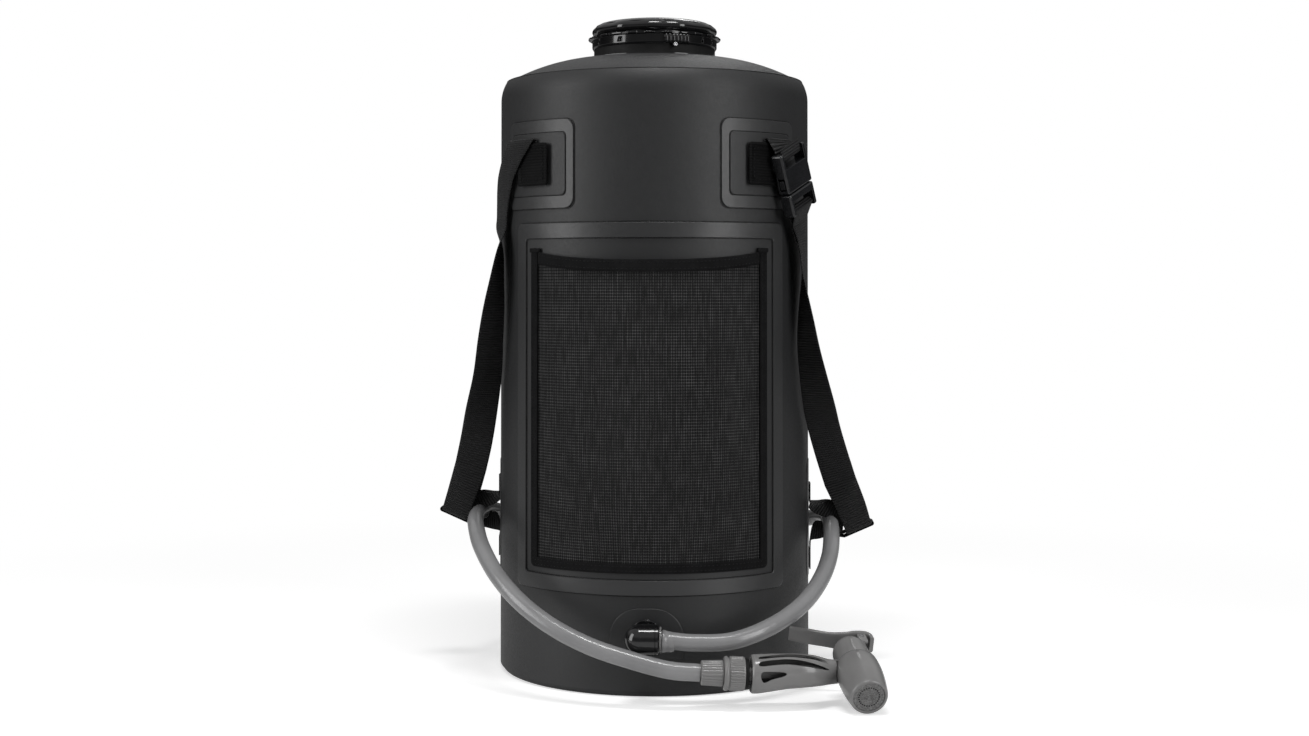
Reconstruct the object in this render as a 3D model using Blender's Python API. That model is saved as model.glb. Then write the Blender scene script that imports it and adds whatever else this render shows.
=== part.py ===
"""Camp shower bag: a round tank of coated fabric that stands on its base.

A wide screw lid closes its neck. A mesh pocket is sewn to a welded front panel, and two webbing straps
run from patches high on the front to loops low on the sides. A hose leaves an elbow at the foot of the
tank, goes through both loops round the back, and ends in a trigger sprayer that lies on the ground.

The part stands on Z = 0 with the tank's axis on Z, its front towards -Y. Sizes are in metres.
"""

import math

import bmesh
import bpy
from mathutils import Matrix, Vector

mm = 0.001

# Clearances
seat_gap = 0.3 * mm
turn_gap = 0.5 * mm
overrun = 2.0 * mm
weld_distance = 0.002 * mm

# Tank: three panels of coated fabric, lap-welded to each other
base_radius = 121.2 * mm
top_radius = 118.8 * mm
wall_bottom = 13.0 * mm
wall_top = 449.0 * mm
fabric = 1.2 * mm
lap = 12.0 * mm
bottom_corner = 13.0 * mm
dome_rise = 29.4 * mm
tank_steps = 40
neck_steps = 36
fitting_steps = 24
pin_steps = 16
wire_steps = 12
panel_runs = 24
binding_runs = 20
patch_runs = 8

# Neck, clamp collar and lid
spout_bore_radius = 41.8 * mm
spout_wall = 3.0 * mm
spout_flange_width = 10.0 * mm
spout_flange_thickness = 2.0 * mm
spout_flange_drop = 5.6 * mm
neck_height = 3.6 * mm
collar_height = 7.0 * mm
collar_wall = 5.2 * mm
collar_lip = 1.3 * mm
collar_lip_height = 1.2 * mm
collar_split = 4.0 * mm
clasp_thickness = 1.6 * mm
clasp_length = 17.0 * mm
clasp_azimuth = math.radians(44.0)
notches = 5
notch_width = 1.8 * mm
notch_depth = 0.9 * mm
notch_drop = 1.2 * mm
notch_first = math.radians(-42.0)
notch_step = math.radians(13.0)
screw_radius = 1.2 * mm
screw_head_radius = 1.9 * mm
screw_head_height = 0.9 * mm
screw_bite = 2.2 * mm
lid_radius = 48.5 * mm
lid_height = 11.2 * mm
lid_top_thickness = 2.8 * mm
lid_lobe_depth = 1.3 * mm
lid_lobes = 12
seal_thickness = 1.2 * mm
lid_stand_off = 0.9 * mm

# Welded and sewn pieces on the wall, from the shoulder down
patch_thickness = 1.0 * mm
upper_patch_drop = 30.05 * mm
upper_patch_angle = math.radians(44.0)
upper_patch_width = 73.0 * mm
upper_patch_length = 64.3 * mm
upper_patch_corner = 7.0 * mm
patch_step_width = 60.0 * mm
patch_step_length = 45.5 * mm
patch_step_corner = 3.5 * mm
patch_step_thickness = 0.7 * mm
keeper_width = 32.0 * mm
keeper_length = 31.0 * mm
keeper_corner = 2.0 * mm
keeper_thickness = 1.2 * mm
panel_gap = 10.95 * mm
panel_half_angle = math.radians(54.0)
panel_bottom = 74.4 * mm
panel_corner = 15.0 * mm
border_width = 11.0 * mm
border_thickness = 0.7 * mm
pocket_half_angle = math.radians(45.0)
pocket_head_margin = 19.7 * mm
pocket_foot_margin = 16.1 * mm
pocket_sag = 8.0 * mm
pocket_bulge = 8.5 * mm
pocket_corner = 4.0 * mm
binding_width = 7.0 * mm
binding_thickness = 1.0 * mm
hem_height = 9.0 * mm
net_thickness = 0.7 * mm
net_strand = 2.4 * mm
net_columns = 11
net_rows = 13
lower_patch_width = 46.0 * mm
lower_patch_length = 90.0 * mm
lower_patch_corner = 9.0 * mm
outlet_patch_width = 54.0 * mm
outlet_patch_bottom = 28.0 * mm
outlet_patch_top = 65.0 * mm
outlet_patch_corner = 20.0 * mm

# Straps and side loops of webbing. A strap's run on the wall lists (share of the fold's arc, share of the
# rise from eye to fold, share of the fold's standoff, share of the width). A run off the wall lists (share
# of the tank's radius to the side, its share in depth, share of the rise, turn and tilt of the front edge
# in degrees)
strap_width = 25.0 * mm
webbing = 1.4 * mm
clearance_step = 0.05 * mm
strap_fold_rise = 16.7 * mm
strap_fold_offset = 12.65 * mm
strap_end_run = 12.5 * mm
strap_fold_half_width = 16.8 * mm
strap_tail_stations = 3
strap_stations = 32
left_wall_shares = (
    (1.040, 0.9825, 1.028, 0.664),
    (1.112, 0.9527, 1.014, 0.640),
    (1.188, 0.9177, 0.986, 0.612),
    (1.255, 0.8827, 0.845, 0.588),
    (1.312, 0.8477, 0.704, 0.568),
    (1.360, 0.8127, 0.634, 0.552),
    (1.395, 0.7777, 0.634, 0.536),
)
left_free_shares = (
    (0.9767, -0.4042, 0.7076, -90, 0),
    (1.0050, -0.4408, 0.5921, -60, 0),
    (1.0317, -0.4167, 0.4905, -48, 0),
    (1.0533, -0.3667, 0.3925, -37, 0),
    (1.0983, -0.2667, 0.2980, -20, 4),
    (1.1500, -0.1500, 0.2104, -6, 10),
    (1.1983, -0.0875, 0.1352, 0, 18),
)
right_free_shares = (
    (0.9417, -0.4667, 0.7507, -103, -4),
    (0.9500, -0.4667, 0.6659, -90, 0),
    (0.9667, -0.5000, 0.5641, -66, 0),
    (0.9900, -0.5042, 0.4735, -48, 0),
    (1.0517, -0.3833, 0.3474, -18, 0),
    (1.0933, -0.2667, 0.2758, -8, 4),
    (1.1483, -0.1583, 0.2012, -4, 10),
    (1.2083, -0.0833, 0.1265, 0, 18),
)
left_eye_offset = 20.1 * mm
left_eye_drop = 1.6 * mm
right_eye_offset = 22.4 * mm
right_eye_drop = 4.8 * mm
eye_lean = math.radians(20.0)
eye_tilt = math.radians(24.0)
eye_half_width = 10.5 * mm
eye_half_depth = 9.4 * mm
eye_leg = 18.0 * mm
eye_corner_radius = 2.0 * mm
loop_webbing = 1.2 * mm
loop_width = 15.0 * mm
loop_rise = 15.5 * mm
loop_drop = 17.0 * mm
loop_tail = 15.0 * mm
loop_overhang = 2.5 * mm
loop_over_shares = ((-1.181, 1.654), (0.157, 1.449), (1.181, 0.709), (1.386, -0.236))
loop_under_share = (0.08, 0.71)

# Side-release buckle on the right strap
buckle_width = 33.0 * mm
buckle_thickness = 9.6 * mm
buckle_half_length = 24.0 * mm
buckle_drop = 27.5 * mm
buckle_standoff = 11.1 * mm
buckle_angle = math.radians(55.0)
buckle_lean = math.radians(23.0)
buckle_wall = 1.7 * mm
buckle_edge = 1.4 * mm
buckle_bar_radius = 1.7 * mm
buckle_slot_height = 6.4 * mm
bar_station = 20.5 * mm
slot_side = 0.8 * mm
body_end = 6.0 * mm
base_start = 6.6 * mm
cavity_depth = 14.0 * mm
window_start = -6.2 * mm
window_end = 3.2 * mm
prong_width = 5.0 * mm
prong_thickness = 3.4 * mm
prong_tip = -6.0 * mm
arm_inner = 9.2 * mm
arm_pivot = 9.6 * mm
arm_width = 4.0 * mm
arm_thickness = 4.6 * mm
pad_start = -4.4 * mm
pad_end = 2.4 * mm
stub_half_width = 13.6 * mm
stub_lead = 5.0 * mm
stub_tail = 7.0 * mm

# Outlet at the foot of the front
outlet_height = 47.0 * mm
elbow_standoff = 24.05 * mm
outlet_bore_radius = 4.0 * mm
elbow_radius = 11.0 * mm
elbow_left = 14.5 * mm
elbow_right = 10.5 * mm
stem_radius = 8.0 * mm
spigot_radius = 5.8 * mm
spigot_length = 7.0 * mm
flange_radius = 17.0 * mm
flange_thickness = 3.0 * mm
shank_radius = 7.6 * mm
shank_length = 11.0 * mm
hole_clearance = 0.4 * mm
inner_nut_radius = 13.0 * mm
inner_nut_height = 4.0 * mm
inner_gasket_radius = 11.5 * mm
inner_gasket_height = 1.5 * mm
clip_width = 4.2 * mm
clip_thickness = 1.1 * mm
clip_tab_height = 5.0 * mm
clip_tab_width = 1.4 * mm
clip_station = 3.4 * mm

# Hose. Its route lists (share of the elbow's reach to the side, its share in depth, share of the elbow's
# height)
hose_radius = 6.35 * mm
hose_points = 70
hose_route_shares = (
    (0.0772, -1.0000, 1.0000),
    (0.1448, -1.0000, 0.9830),
    (0.2372, -0.9952, 0.9574),
    (0.4083, -0.9655, 0.9617),
    (0.5559, -0.8966, 1.0638),
    (0.6966, -0.7793, 1.2340),
    (0.8048, -0.6517, 1.4468),
    (0.8848, -0.4966, 1.7128),
    (0.9310, -0.3448, 1.9787),
    (0.9490, -0.1862, 2.2340),
    (0.9490, 0.0000, 2.4149),
    (0.9324, 0.1931, 2.4255),
    (0.8517, 0.4276, 2.2979),
    (0.6621, 0.6828, 2.0957),
    (0.3586, 0.8793, 1.9362),
    (0.0000, 0.9552, 1.8723),
    (-0.3586, 0.8793, 1.9468),
    (-0.6621, 0.6828, 2.1277),
    (-0.8517, 0.4276, 2.3511),
    (-0.9310, 0.1931, 2.5106),
    (-0.9462, 0.0000, 2.5426),
    (-0.9462, -0.1862, 2.5213),
    (-0.9207, -0.3586, 2.4149),
    (-0.8662, -0.5338, 2.1702),
    (-0.7586, -0.7172, 1.7979),
    (-0.6207, -0.8586, 1.4574),
    (-0.4552, -0.9655, 1.1596),
    (-0.2621, -1.0428, 0.9149),
    (-0.0552, -1.0841, 0.7340),
    (0.1241, -1.0993, 0.6064),
    (0.2731, -1.0848, 0.5638),
)
right_pass = 10
left_pass = 20

# Sprayer: its handle runs on from the hose, and its head looks forward and down
handle_way = Vector((0.9921, 0.1194, -0.0376)).normalized()
handle_reach = 113.6 * mm
spray_direction = Vector((0.1754, -0.9237, -0.3404)).normalized()
handle_to_face = 28.0 * mm
hose_nut_length = 15.8 * mm
hose_nut_radius = 9.4 * mm
hose_nut_small_radius = 8.3 * mm
nut_ribs = 12
bead_length = 3.8 * mm
sleeve_length = 14.6 * mm
sleeve_radius = 12.2 * mm
sleeve_ribs = 15
rib_depth = 0.5 * mm
ring_seal_length = 1.5 * mm
ring_seal_radius = 11.3 * mm
tube_radius = 4.6 * mm
tube_bore_radius = 3.0 * mm
handle_start = 78.0 * mm
handle_radius = 13.7 * mm
handle_wall = 2.2 * mm
handle_solid_end = 5.0 * mm
handle_steps = 16
barrel_radius = 14.6 * mm
barrel_bore_radius = 9.8 * mm
barrel_back = 38.0 * mm
barrel_dome = 4.0 * mm
chamber_back = 31.0 * mm
barrel_front = 6.0 * mm
thread_radius = 12.2 * mm
thread_reach = 4.0 * mm
seat_front = 1.0 * mm
seat_height = 4.0 * mm
seat_bore_radius = 4.4 * mm
cap_radius = 15.5 * mm
cap_face_radius = 13.0 * mm
cap_opening_radius = 11.2 * mm
cap_bore_radius = 9.6 * mm
cap_edge = 0.7 * mm
cap_clearance = 0.5 * mm
plate_thickness = 2.4 * mm
plate_recess = 0.7 * mm
nozzle_holes = 24
nozzle_ring_radius = 7.3 * mm
nozzle_radius = 0.55 * mm
ridge_radius = 4.4 * mm
ridge_height = 0.35 * mm
lever_thickness = 3.0 * mm
lever_width = 12.4 * mm
lever_reach = 39.0 * mm
pivot_offset = 11.0 * mm
pivot_back = 44.0 * mm
knuckle_radius = 3.0 * mm
knuckle_width = 8.4 * mm
pin_radius = 1.3 * mm
pin_clearance = 0.3 * mm
ear_thickness = 2.4 * mm
ear_front = 36.0 * mm
ear_half_length = 3.2 * mm
rod_radius = 2.0 * mm
rod_back = 45.4 * mm
disc_radius = 6.4 * mm
disc_height = 2.0 * mm
valve_seal_height = 1.4 * mm
valve_seal_radius = 6.0 * mm
spring_radius = 5.6 * mm
spring_wire_radius = 0.5 * mm
spring_length = 14.0 * mm
spring_turns = 5
spring_points_a_turn = 10
spring_seat_radius = 6.8 * mm
spring_seat_height = 1.8 * mm

coupling_bore_radius = 5.2 * mm
tube_inset = 3.0 * mm
tube_steps = 10
water_way_radius = 2.8 * mm
lever_drop = 13.5 * mm

# Places in the handle, as (share of its length, rise, way forward), the last two as shares of its radius. Its
# sections end with a share of its radius, and its openings leave out the way forward
handle_section_shares = (
    (-1.0000, 0.000, 0.000, 0.934),
    (-0.9872, 0.000, 0.000, 1.000),
    (-0.9231, 0.022, 0.000, 1.007),
    (-0.7949, 0.117, 0.000, 0.964),
    (-0.6667, 0.204, 0.000, 0.912),
    (-0.5385, 0.219, -0.036, 0.869),
    (-0.4359, 0.175, -0.131, 0.818),
    (-0.3462, 0.044, -0.307, 0.737),
    (-0.2564, -0.161, -0.620, 0.650),
    (-0.1282, -0.263, -0.891, 0.613),
)
tube_tip_share = (-0.2641, -0.153, -0.606)
water_way_tip_share = (-0.0833, -0.299, -0.985)
upper_slot_shares = (
    (-0.949, 0.861), (-0.667, 1.044), (-0.449, 0.949), (-0.308, 0.715), (-0.263, 0.569),
    (-0.321, 0.628), (-0.449, 0.818), (-0.667, 0.912), (-0.949, 0.730),
)
lower_slot_shares = (
    (-0.949, 0.613), (-0.667, 0.788), (-0.449, 0.599), (-0.321, 0.387), (-0.282, 0.292),
    (-0.346, 0.270), (-0.449, 0.365), (-0.667, 0.533), (-0.949, 0.336),
)
side_window_shares = (
    (-0.926, 0.036), (-0.904, 0.102), (-0.718, 0.117), (-0.692, 0.044), (-0.699, -0.073),
    (-0.795, -0.219), (-0.885, -0.453), (-0.910, -0.401), (-0.931, -0.146),
)

# Sizes that follow from those above
mean_radius = (base_radius + top_radius) / 2
upper_patch_height = wall_top - upper_patch_drop - upper_patch_length / 2
panel_top = upper_patch_height - upper_patch_length / 2 - panel_gap
pocket_top = panel_top - pocket_head_margin
pocket_bottom = panel_bottom + pocket_foot_margin
strap_fold_arc = upper_patch_angle * mean_radius + strap_fold_offset
outlet_reach = base_radius + (top_radius - base_radius) * outlet_height / wall_top + elbow_standoff
hose_sizes = Vector((outlet_reach, outlet_reach, outlet_height))
hose_route = [Vector(share) * hose_sizes for share in hose_route_shares]
sprayer_start = hose_route[-1] + handle_way * (seat_gap + clearance_step)
handle_joint = sprayer_start + handle_way * handle_reach
dome_top = wall_top + dome_rise
spout_radius = spout_bore_radius + spout_wall
collar_bottom = dome_top + neck_height
collar_top = collar_bottom + collar_height
neck_top = collar_top - turn_gap
lid_bottom = collar_top + lid_stand_off
lid_top = lid_bottom + lid_height
seal_top = lid_top - lid_top_thickness - seat_gap
spout_top = seal_top - seal_thickness - seat_gap
strap_fold_height = upper_patch_height + strap_fold_rise
patch_top_standoff = seat_gap + patch_thickness + patch_step_thickness
under_strap_standoff = patch_top_standoff + 3 * seat_gap + webbing / 2
keeper_standoff = under_strap_standoff + webbing / 2 + seat_gap
over_strap_standoff = keeper_standoff + keeper_thickness + 2 * seat_gap + webbing / 2


def look(name, color, roughness, metallic=0.0):
    """A plain finish."""
    material = bpy.data.materials.new(name)
    material.use_nodes = True
    shader = material.node_tree.nodes["Principled BSDF"]
    shader.inputs["Base Color"].default_value = (*color, 1.0)
    shader.inputs["Roughness"].default_value = roughness
    shader.inputs["Metallic"].default_value = metallic
    return material


def finished(name, bm, surface, place=None, smooth=30.0):
    """Turns the mesh under construction into a named object with its faces out."""
    bmesh.ops.remove_doubles(bm, verts=bm.verts, dist=weld_distance)
    bmesh.ops.recalc_face_normals(bm, faces=bm.faces)
    mesh = bpy.data.meshes.new(name)
    bm.to_mesh(mesh)
    bm.free()
    mesh.materials.append(surface)
    mesh.shade_smooth()
    mesh.set_sharp_from_angle(angle=math.radians(smooth))
    obj = bpy.data.objects.new(name, mesh)
    bpy.context.scene.collection.objects.link(obj)
    if place is not None:
        obj.matrix_world = place
    return obj


def turned(name, outline, surface, place=None, steps=fitting_steps):
    """A solid of revolution about its own Z. The outline lists (radius, height) round the section."""
    bm = bmesh.new()
    points = [bm.verts.new((radius, 0, height)) for radius, height in outline]
    pairs = zip(points, points[1:] + points[:1])
    edges = [bm.edges.new(pair) for pair in pairs if max(v.co.x for v in pair) > 0]
    whole = 2 * math.pi
    bmesh.ops.spin(
        bm, geom=points + edges, cent=(0, 0, 0), axis=(0, 0, 1), angle=whole, steps=steps, use_merge=True
    )
    return finished(name, bm, surface, place)


def lofted(name, loops, surface, place=None, ring=False, cap_strips=False, smooth=30.0):
    """A solid through loops of equally many points. A ring closes on its first loop and has no caps."""
    bm = bmesh.new()
    rows = [[bm.verts.new(point) for point in loop] for loop in loops]
    count = len(rows[0])
    for first, second in zip(rows, rows[1:] + rows[:1] if ring else rows[1:]):
        for i in range(count):
            j = (i + 1) % count
            bm.faces.new((first[i], first[j], second[j], second[i]))
    for row in () if ring else (rows[0], rows[-1]):
        if cap_strips:
            for i in range(count // 2 - 1):
                bm.faces.new((row[i], row[i + 1], row[-2 - i], row[-1 - i]))
        else:
            bm.faces.new(row)
    return finished(name, bm, surface, place, smooth)


def block(name, low, high, surface, place=None, edge=0.0):
    """A box between two corners, with its edges rounded."""
    bm = bmesh.new()
    size = Vector(high) - Vector(low)
    middle = (Vector(high) + Vector(low)) / 2
    bmesh.ops.create_cube(bm, size=1.0, matrix=Matrix.Translation(middle) @ Matrix.Diagonal((*size, 1.0)))
    if edge:
        bmesh.ops.bevel(bm, geom=list(bm.edges), offset=edge, segments=2, profile=0.5, affect="EDGES")
    return finished(name, bm, surface, place)


def combine(target, tool, operation="DIFFERENCE"):
    """Cuts, or joins on, a helper that isn't a piece of its own."""
    tool.hide_render = True
    tool.display_type = "WIRE"
    modifier = target.modifiers.new(tool.name, "BOOLEAN")
    modifier.operation = operation
    modifier.object = tool


def smooth_through(points, count):
    """Evenly numbered points on a Catmull-Rom curve through the given vectors."""
    padded = [points[0] * 2 - points[1], *points, points[-1] * 2 - points[-2]]
    curve = []
    for i in range(count):
        at = i * (len(points) - 1) / (count - 1)
        k = min(int(at), len(points) - 2)
        t = at - k
        a, b, c, d = padded[k : k + 4]
        curve.append(
            (b * 2 + (c - a) * t + (a * 2 - b * 5 + c * 4 - d) * t**2 + (b * 3 - a - c * 3 + d) * t**3) / 2
        )
    return curve


def axis_frame(origin, along, across):
    """A frame whose X is along, and whose Z is as near to across as can be."""
    x = along.normalized()
    y = across.cross(x).normalized()
    z = x.cross(y)
    return Matrix.Translation(origin) @ Matrix((x, y, z)).transposed().to_4x4()


def turned_along_x():
    """Lays a solid turned about Z along X."""
    return Matrix.Rotation(math.pi / 2, 4, "Y")


# Pieces that follow the tank's wall


def wall_radius(height):
    """Outer radius of the tank's wall, which narrows a little towards the top."""
    return base_radius + (top_radius - base_radius) * height / wall_top


def on_wall(arc, height, standoff):
    """The point that stands off the wall by that much, an arc's length round from the front."""
    angle = arc / mean_radius
    radius = wall_radius(height) + standoff
    return Vector((radius * math.sin(angle), -radius * math.cos(angle), height))


def rectangle(middle, width, low, high, corner, runs, turns=4, foot=1):
    """Columns (arc, bottom, top) of a rectangle with round corners. A foot of 0 leaves the lower ones
    square."""
    half = width / 2
    left = []
    for i in range(turns + 1):
        angle = math.pi / 2 * i / turns
        left.append((corner * (1 - math.cos(angle)) - half, corner * (1 - math.sin(angle))))
    flat = [((2 * i / runs - 1) * (half - corner), 0) for i in range(1, runs)]
    right = [(-arc, rise) for arc, rise in reversed(left)]
    return [(middle + arc, low + rise * foot, high - rise) for arc, rise in left + flat + right]


def wall_loop(columns, standoff, lift=None):
    """The outline of the columns as one loop that stands off the wall."""
    over = [on_wall(arc, top, standoff + (lift(arc, top) if lift else 0)) for arc, _, top in columns]
    under = [on_wall(arc, low, standoff + (lift(arc, low) if lift else 0)) for arc, low, _ in columns]
    return over + under[::-1]


def patch(name, layers, surface):
    """A patch on the wall, from its back to its face. Each layer is (columns, standoff)."""
    loops = [wall_loop(columns, standoff) for columns, standoff in layers]
    return lofted(name, loops, surface, cap_strips=True)


def pocket_lift(arc, height):
    """How far the mesh of the pocket bellies from the panel: nothing at its sides and foot."""
    reach = pocket_half_angle * mean_radius - binding_width - turn_gap
    side_share = math.cos(math.pi / 2 * min(abs(arc) / reach, 1))
    rise_share = (height - pocket_bottom - binding_width - turn_gap) / (pocket_top - pocket_bottom)
    return pocket_bulge * side_share * math.sin(math.pi / 2 * min(max(rise_share, 0) * 3, 1))


def pocket_hem_top(arc):
    """Height of the pocket's mouth, which sags between its corners."""
    share = arc / (pocket_half_angle * mean_radius)
    return pocket_top - pocket_sag * (1 - share**4)


def band(width, low, high, runs):
    """Columns of a band whose lower and upper edges follow two functions of the arc."""
    arcs = [(i / runs - 0.5) * width for i in range(runs + 1)]
    return [(arc, low(arc), high(arc)) for arc in arcs]


# Tank


def build_tank(fabric_look):
    """Wall, dome and base, each an open shell that laps inside the next."""
    wall = turned(
        "side_wall",
        [
            (wall_radius(wall_top), wall_top),
            (wall_radius(wall_bottom), wall_bottom),
            (wall_radius(wall_bottom) - fabric, wall_bottom),
            (wall_radius(wall_top) - fabric, wall_top),
        ],
        fabric_look,
        steps=tank_steps,
    )
    skirt = wall_radius(wall_top) - fabric - seat_gap
    shoulder_shares = ((1.0, 0.0), (0.975, 0.25), (0.91, 0.5), (0.78, 0.73), (0.62, 0.87), (0.49, 0.94))
    outer = [(skirt * r, wall_top + dome_rise * z) for r, z in shoulder_shares]
    foot = spout_radius + seat_gap + fabric
    outer += [(foot + fabric, dome_top), (foot, dome_top + neck_height / 2), (foot, neck_top)]
    inner = [(foot - fabric, neck_top), (foot - fabric, dome_top - fabric)]
    inner += [(skirt * r - fabric / 2, wall_top - fabric + dome_rise * z) for r, z in shoulder_shares[:0:-2]]
    inner += [(skirt - fabric, wall_top - fabric), (skirt - fabric, wall_top - lap)]
    turned("top_panel", [(skirt, wall_top - lap), *outer, *inner], fabric_look, steps=tank_steps)
    rim = wall_radius(wall_bottom) - fabric - seat_gap
    bend = [math.pi / 2 * i / 3 for i in range(4)]
    under = [(rim - bottom_corner * (1 - math.sin(a)), bottom_corner * (1 - math.cos(a))) for a in bend]
    hollow = bottom_corner - fabric
    above = [(rim - fabric - hollow * (1 - math.sin(a)), fabric + hollow * (1 - math.cos(a))) for a in bend]
    lip = wall_bottom + lap
    turned(
        "bottom_panel",
        [(0, 0), *under, (rim, lip), (rim - fabric, lip), *above[::-1], (0, fabric)],
        fabric_look,
        steps=tank_steps,
    )
    return wall


def build_panel(weld_look, fabric_look):
    """The welded front panel and the raised border strip round it."""
    width = 2 * panel_half_angle * mean_radius
    back = seat_gap
    face = back + patch_thickness
    whole = rectangle(0, width, panel_bottom, panel_top, panel_corner, panel_runs)
    patch("front_panel", [(whole, back), (whole, face)], fabric_look)
    low = panel_bottom + border_width
    high = panel_top - border_width
    corner = panel_corner - border_width / 2
    inside = rectangle(0, width - 2 * border_width, low, high, corner, panel_runs)
    step = face + seat_gap
    loops = [wall_loop(whole, step), wall_loop(whole, step + border_thickness)]
    loops += [wall_loop(inside, step + border_thickness), wall_loop(inside, step)]
    lofted("panel_border", loops, weld_look, ring=True)


def build_pocket(net_look, tape_look):
    """The mesh with its hem, and the binding that sews both to the panel."""
    half = pocket_half_angle * mean_radius
    inner_width = 2 * (half - binding_width)
    net_width = inner_width + binding_width
    base = 2 * seat_gap + patch_thickness
    low = pocket_bottom + binding_width / 2
    pitch = (net_width - net_strand) / net_columns
    bm = bmesh.new()
    grid = {}
    for i in range(2 * net_columns + 2):
        arc = i // 2 * pitch + i % 2 * net_strand - net_width / 2
        step = (pocket_hem_top(arc) - hem_height / 2 - low - net_strand) / net_rows
        for j in range(2 * net_rows + 2):
            grid[i, j] = bm.verts.new((arc, 0, low + j // 2 * step + j % 2 * net_strand))
    for i in range(2 * net_columns + 1):
        for j in range(2 * net_rows + 1):
            if i % 2 == 0 or j % 2 == 0:
                bm.faces.new((grid[i, j], grid[i + 1, j], grid[i + 1, j + 1], grid[i, j + 1]))
    faced = bmesh.ops.extrude_face_region(bm, geom=list(bm.faces))["geom"]
    raised = [item for item in faced if isinstance(item, bmesh.types.BMVert)]
    bmesh.ops.translate(bm, verts=raised, vec=(0, net_thickness, 0))
    for vert in bm.verts:
        arc, depth, height = vert.co
        vert.co = on_wall(arc, height, base + depth + pocket_lift(arc, height))
    finished("pocket_net", bm, net_look)
    over = base + net_thickness + seat_gap
    hem_width = inner_width - 2 * seat_gap
    hem = band(hem_width, lambda arc: pocket_hem_top(arc) - hem_height, pocket_hem_top, panel_runs)
    hem_faces = [wall_loop(hem, over + rise, pocket_lift) for rise in (0, binding_thickness)]
    lofted("pocket_hem", hem_faces, tape_look, cap_strips=True)
    build_binding(half, over, tape_look)


def build_binding(half, over, tape_look):
    """A U of tape down both sides of the mesh and along its foot."""
    turn = [math.pi / 2 * i / 4 for i in range(5)]
    side = [(-half, pocket_top)]
    for a in turn:
        height = pocket_bottom + pocket_corner * (1 - math.sin(a))
        side.append((pocket_corner * (1 - math.cos(a)) - half, height))
    places = [2 * i / binding_runs - 1 for i in range(1, binding_runs)]
    foot = [(place * (half - pocket_corner), pocket_bottom) for place in places]
    rim = side + foot + [(-arc, height) for arc, height in reversed(side)]
    reach = half - binding_width
    section = []
    for arc, height in rim:
        inner = (max(-reach, min(reach, arc)), max(height, pocket_bottom + binding_width))
        outer_points = [on_wall(arc, height, over + rise) for rise in (0, binding_thickness)]
        inner_points = [on_wall(*inner, over + rise) for rise in (binding_thickness, 0)]
        section.append(outer_points + inner_points)
    lofted("pocket_binding", section, tape_look)


def build_upper_patches(patch_look, keeper_look):
    """The two patches high on the front, and the squares of webbing sewn over the ends of the straps."""
    for side, word in ((-1, "left"), (1, "right")):
        middle = side * upper_patch_angle * mean_radius
        outlines = []
        for width, length, corner in (
            (upper_patch_width, upper_patch_length, upper_patch_corner),
            (patch_step_width, patch_step_length, patch_step_corner),
            (keeper_width, keeper_length, keeper_corner),
        ):
            low = upper_patch_height - length / 2
            outlines.append(rectangle(middle, width, low, low + length, corner, patch_runs))
        whole, step, square = outlines
        face = seat_gap + patch_thickness
        layers = [(whole, seat_gap), (whole, face), (step, face), (step, face + patch_step_thickness)]
        patch(f"upper_patch_{word}", layers, patch_look)
        layers = [(square, keeper_standoff), (square, keeper_standoff + keeper_thickness)]
        patch(f"strap_keeper_{word}", layers, keeper_look)


def build_lower_patches(patch_look):
    """The two patches low on the sides, and the arched one round the outlet."""
    middle_height = eye_place(-1)[1]
    for side, word in ((-1, "left"), (1, "right")):
        low = middle_height - lower_patch_length / 2
        middle = side * math.pi / 2 * mean_radius
        high = low + lower_patch_length
        outline = rectangle(middle, lower_patch_width, low, high, lower_patch_corner, patch_runs)
        layers = [(outline, seat_gap), (outline, seat_gap + patch_thickness)]
        patch(f"lower_patch_{word}", layers, patch_look)
    low, high = outlet_patch_bottom, outlet_patch_top
    corner = outlet_patch_corner
    arch = rectangle(0, outlet_patch_width, low, high, corner, patch_runs, turns=patch_runs, foot=0)
    layers = [(arch, seat_gap), (arch, seat_gap + patch_thickness)]
    return patch("outlet_patch", layers, patch_look)


# Webbing


def ribbon(name, stations, thickness, surface):
    """A band through stations of (middle, half of its width, how far its edges bend away)."""
    loops = []
    last = len(stations) - 1
    for i, (middle, half, bend) in enumerate(stations):
        along = stations[min(i + 1, last)][0] - stations[max(i - 1, 0)][0]
        up = along.cross(half).normalized() * thickness / 2
        points = [middle - half + bend, middle, middle + half + bend]
        loops.append([point + up for point in points] + [point - up for point in reversed(points)])
    return lofted(name, loops, surface, cap_strips=True, smooth=40)


def beside(stations, i, distance):
    """The station that lies the distance from one of a ribbon's, along its normal."""
    middle, half, bend = stations[i]
    along = stations[min(i + 1, len(stations) - 1)][0] - stations[max(i - 1, 0)][0]
    return middle + along.cross(half).normalized() * distance, half, bend


def arc_stations(middle, start, onward, half, steps, share=1.0, bend=Vector()):
    """Stations on a turn about the middle, from start, setting out onward."""
    found = []
    for i in range(steps + 1):
        angle = math.pi * share * i / steps
        found.append((middle + start * math.cos(angle) + onward * math.sin(angle), half, bend))
    return found


def eased(keys, count):
    """Stations on smooth curves through a few."""
    return list(zip(*(smooth_through([key[k] for key in keys], count) for k in range(3))))


def eye_place(side):
    """How far to the side, and how high, the floor of a strap's eye is. It hangs beside the hose."""
    if side < 0:
        passing, offset, drop = hose_route[left_pass], left_eye_offset, left_eye_drop
    else:
        passing, offset, drop = hose_route[right_pass], right_eye_offset, right_eye_drop
    return abs(passing.x) + offset, passing.z - drop


def rise_from_eye(side, share):
    """A height between the floor of a strap's eye and its fold."""
    low = eye_place(side)[1]
    return low + share * (strap_fold_height - low)


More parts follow.
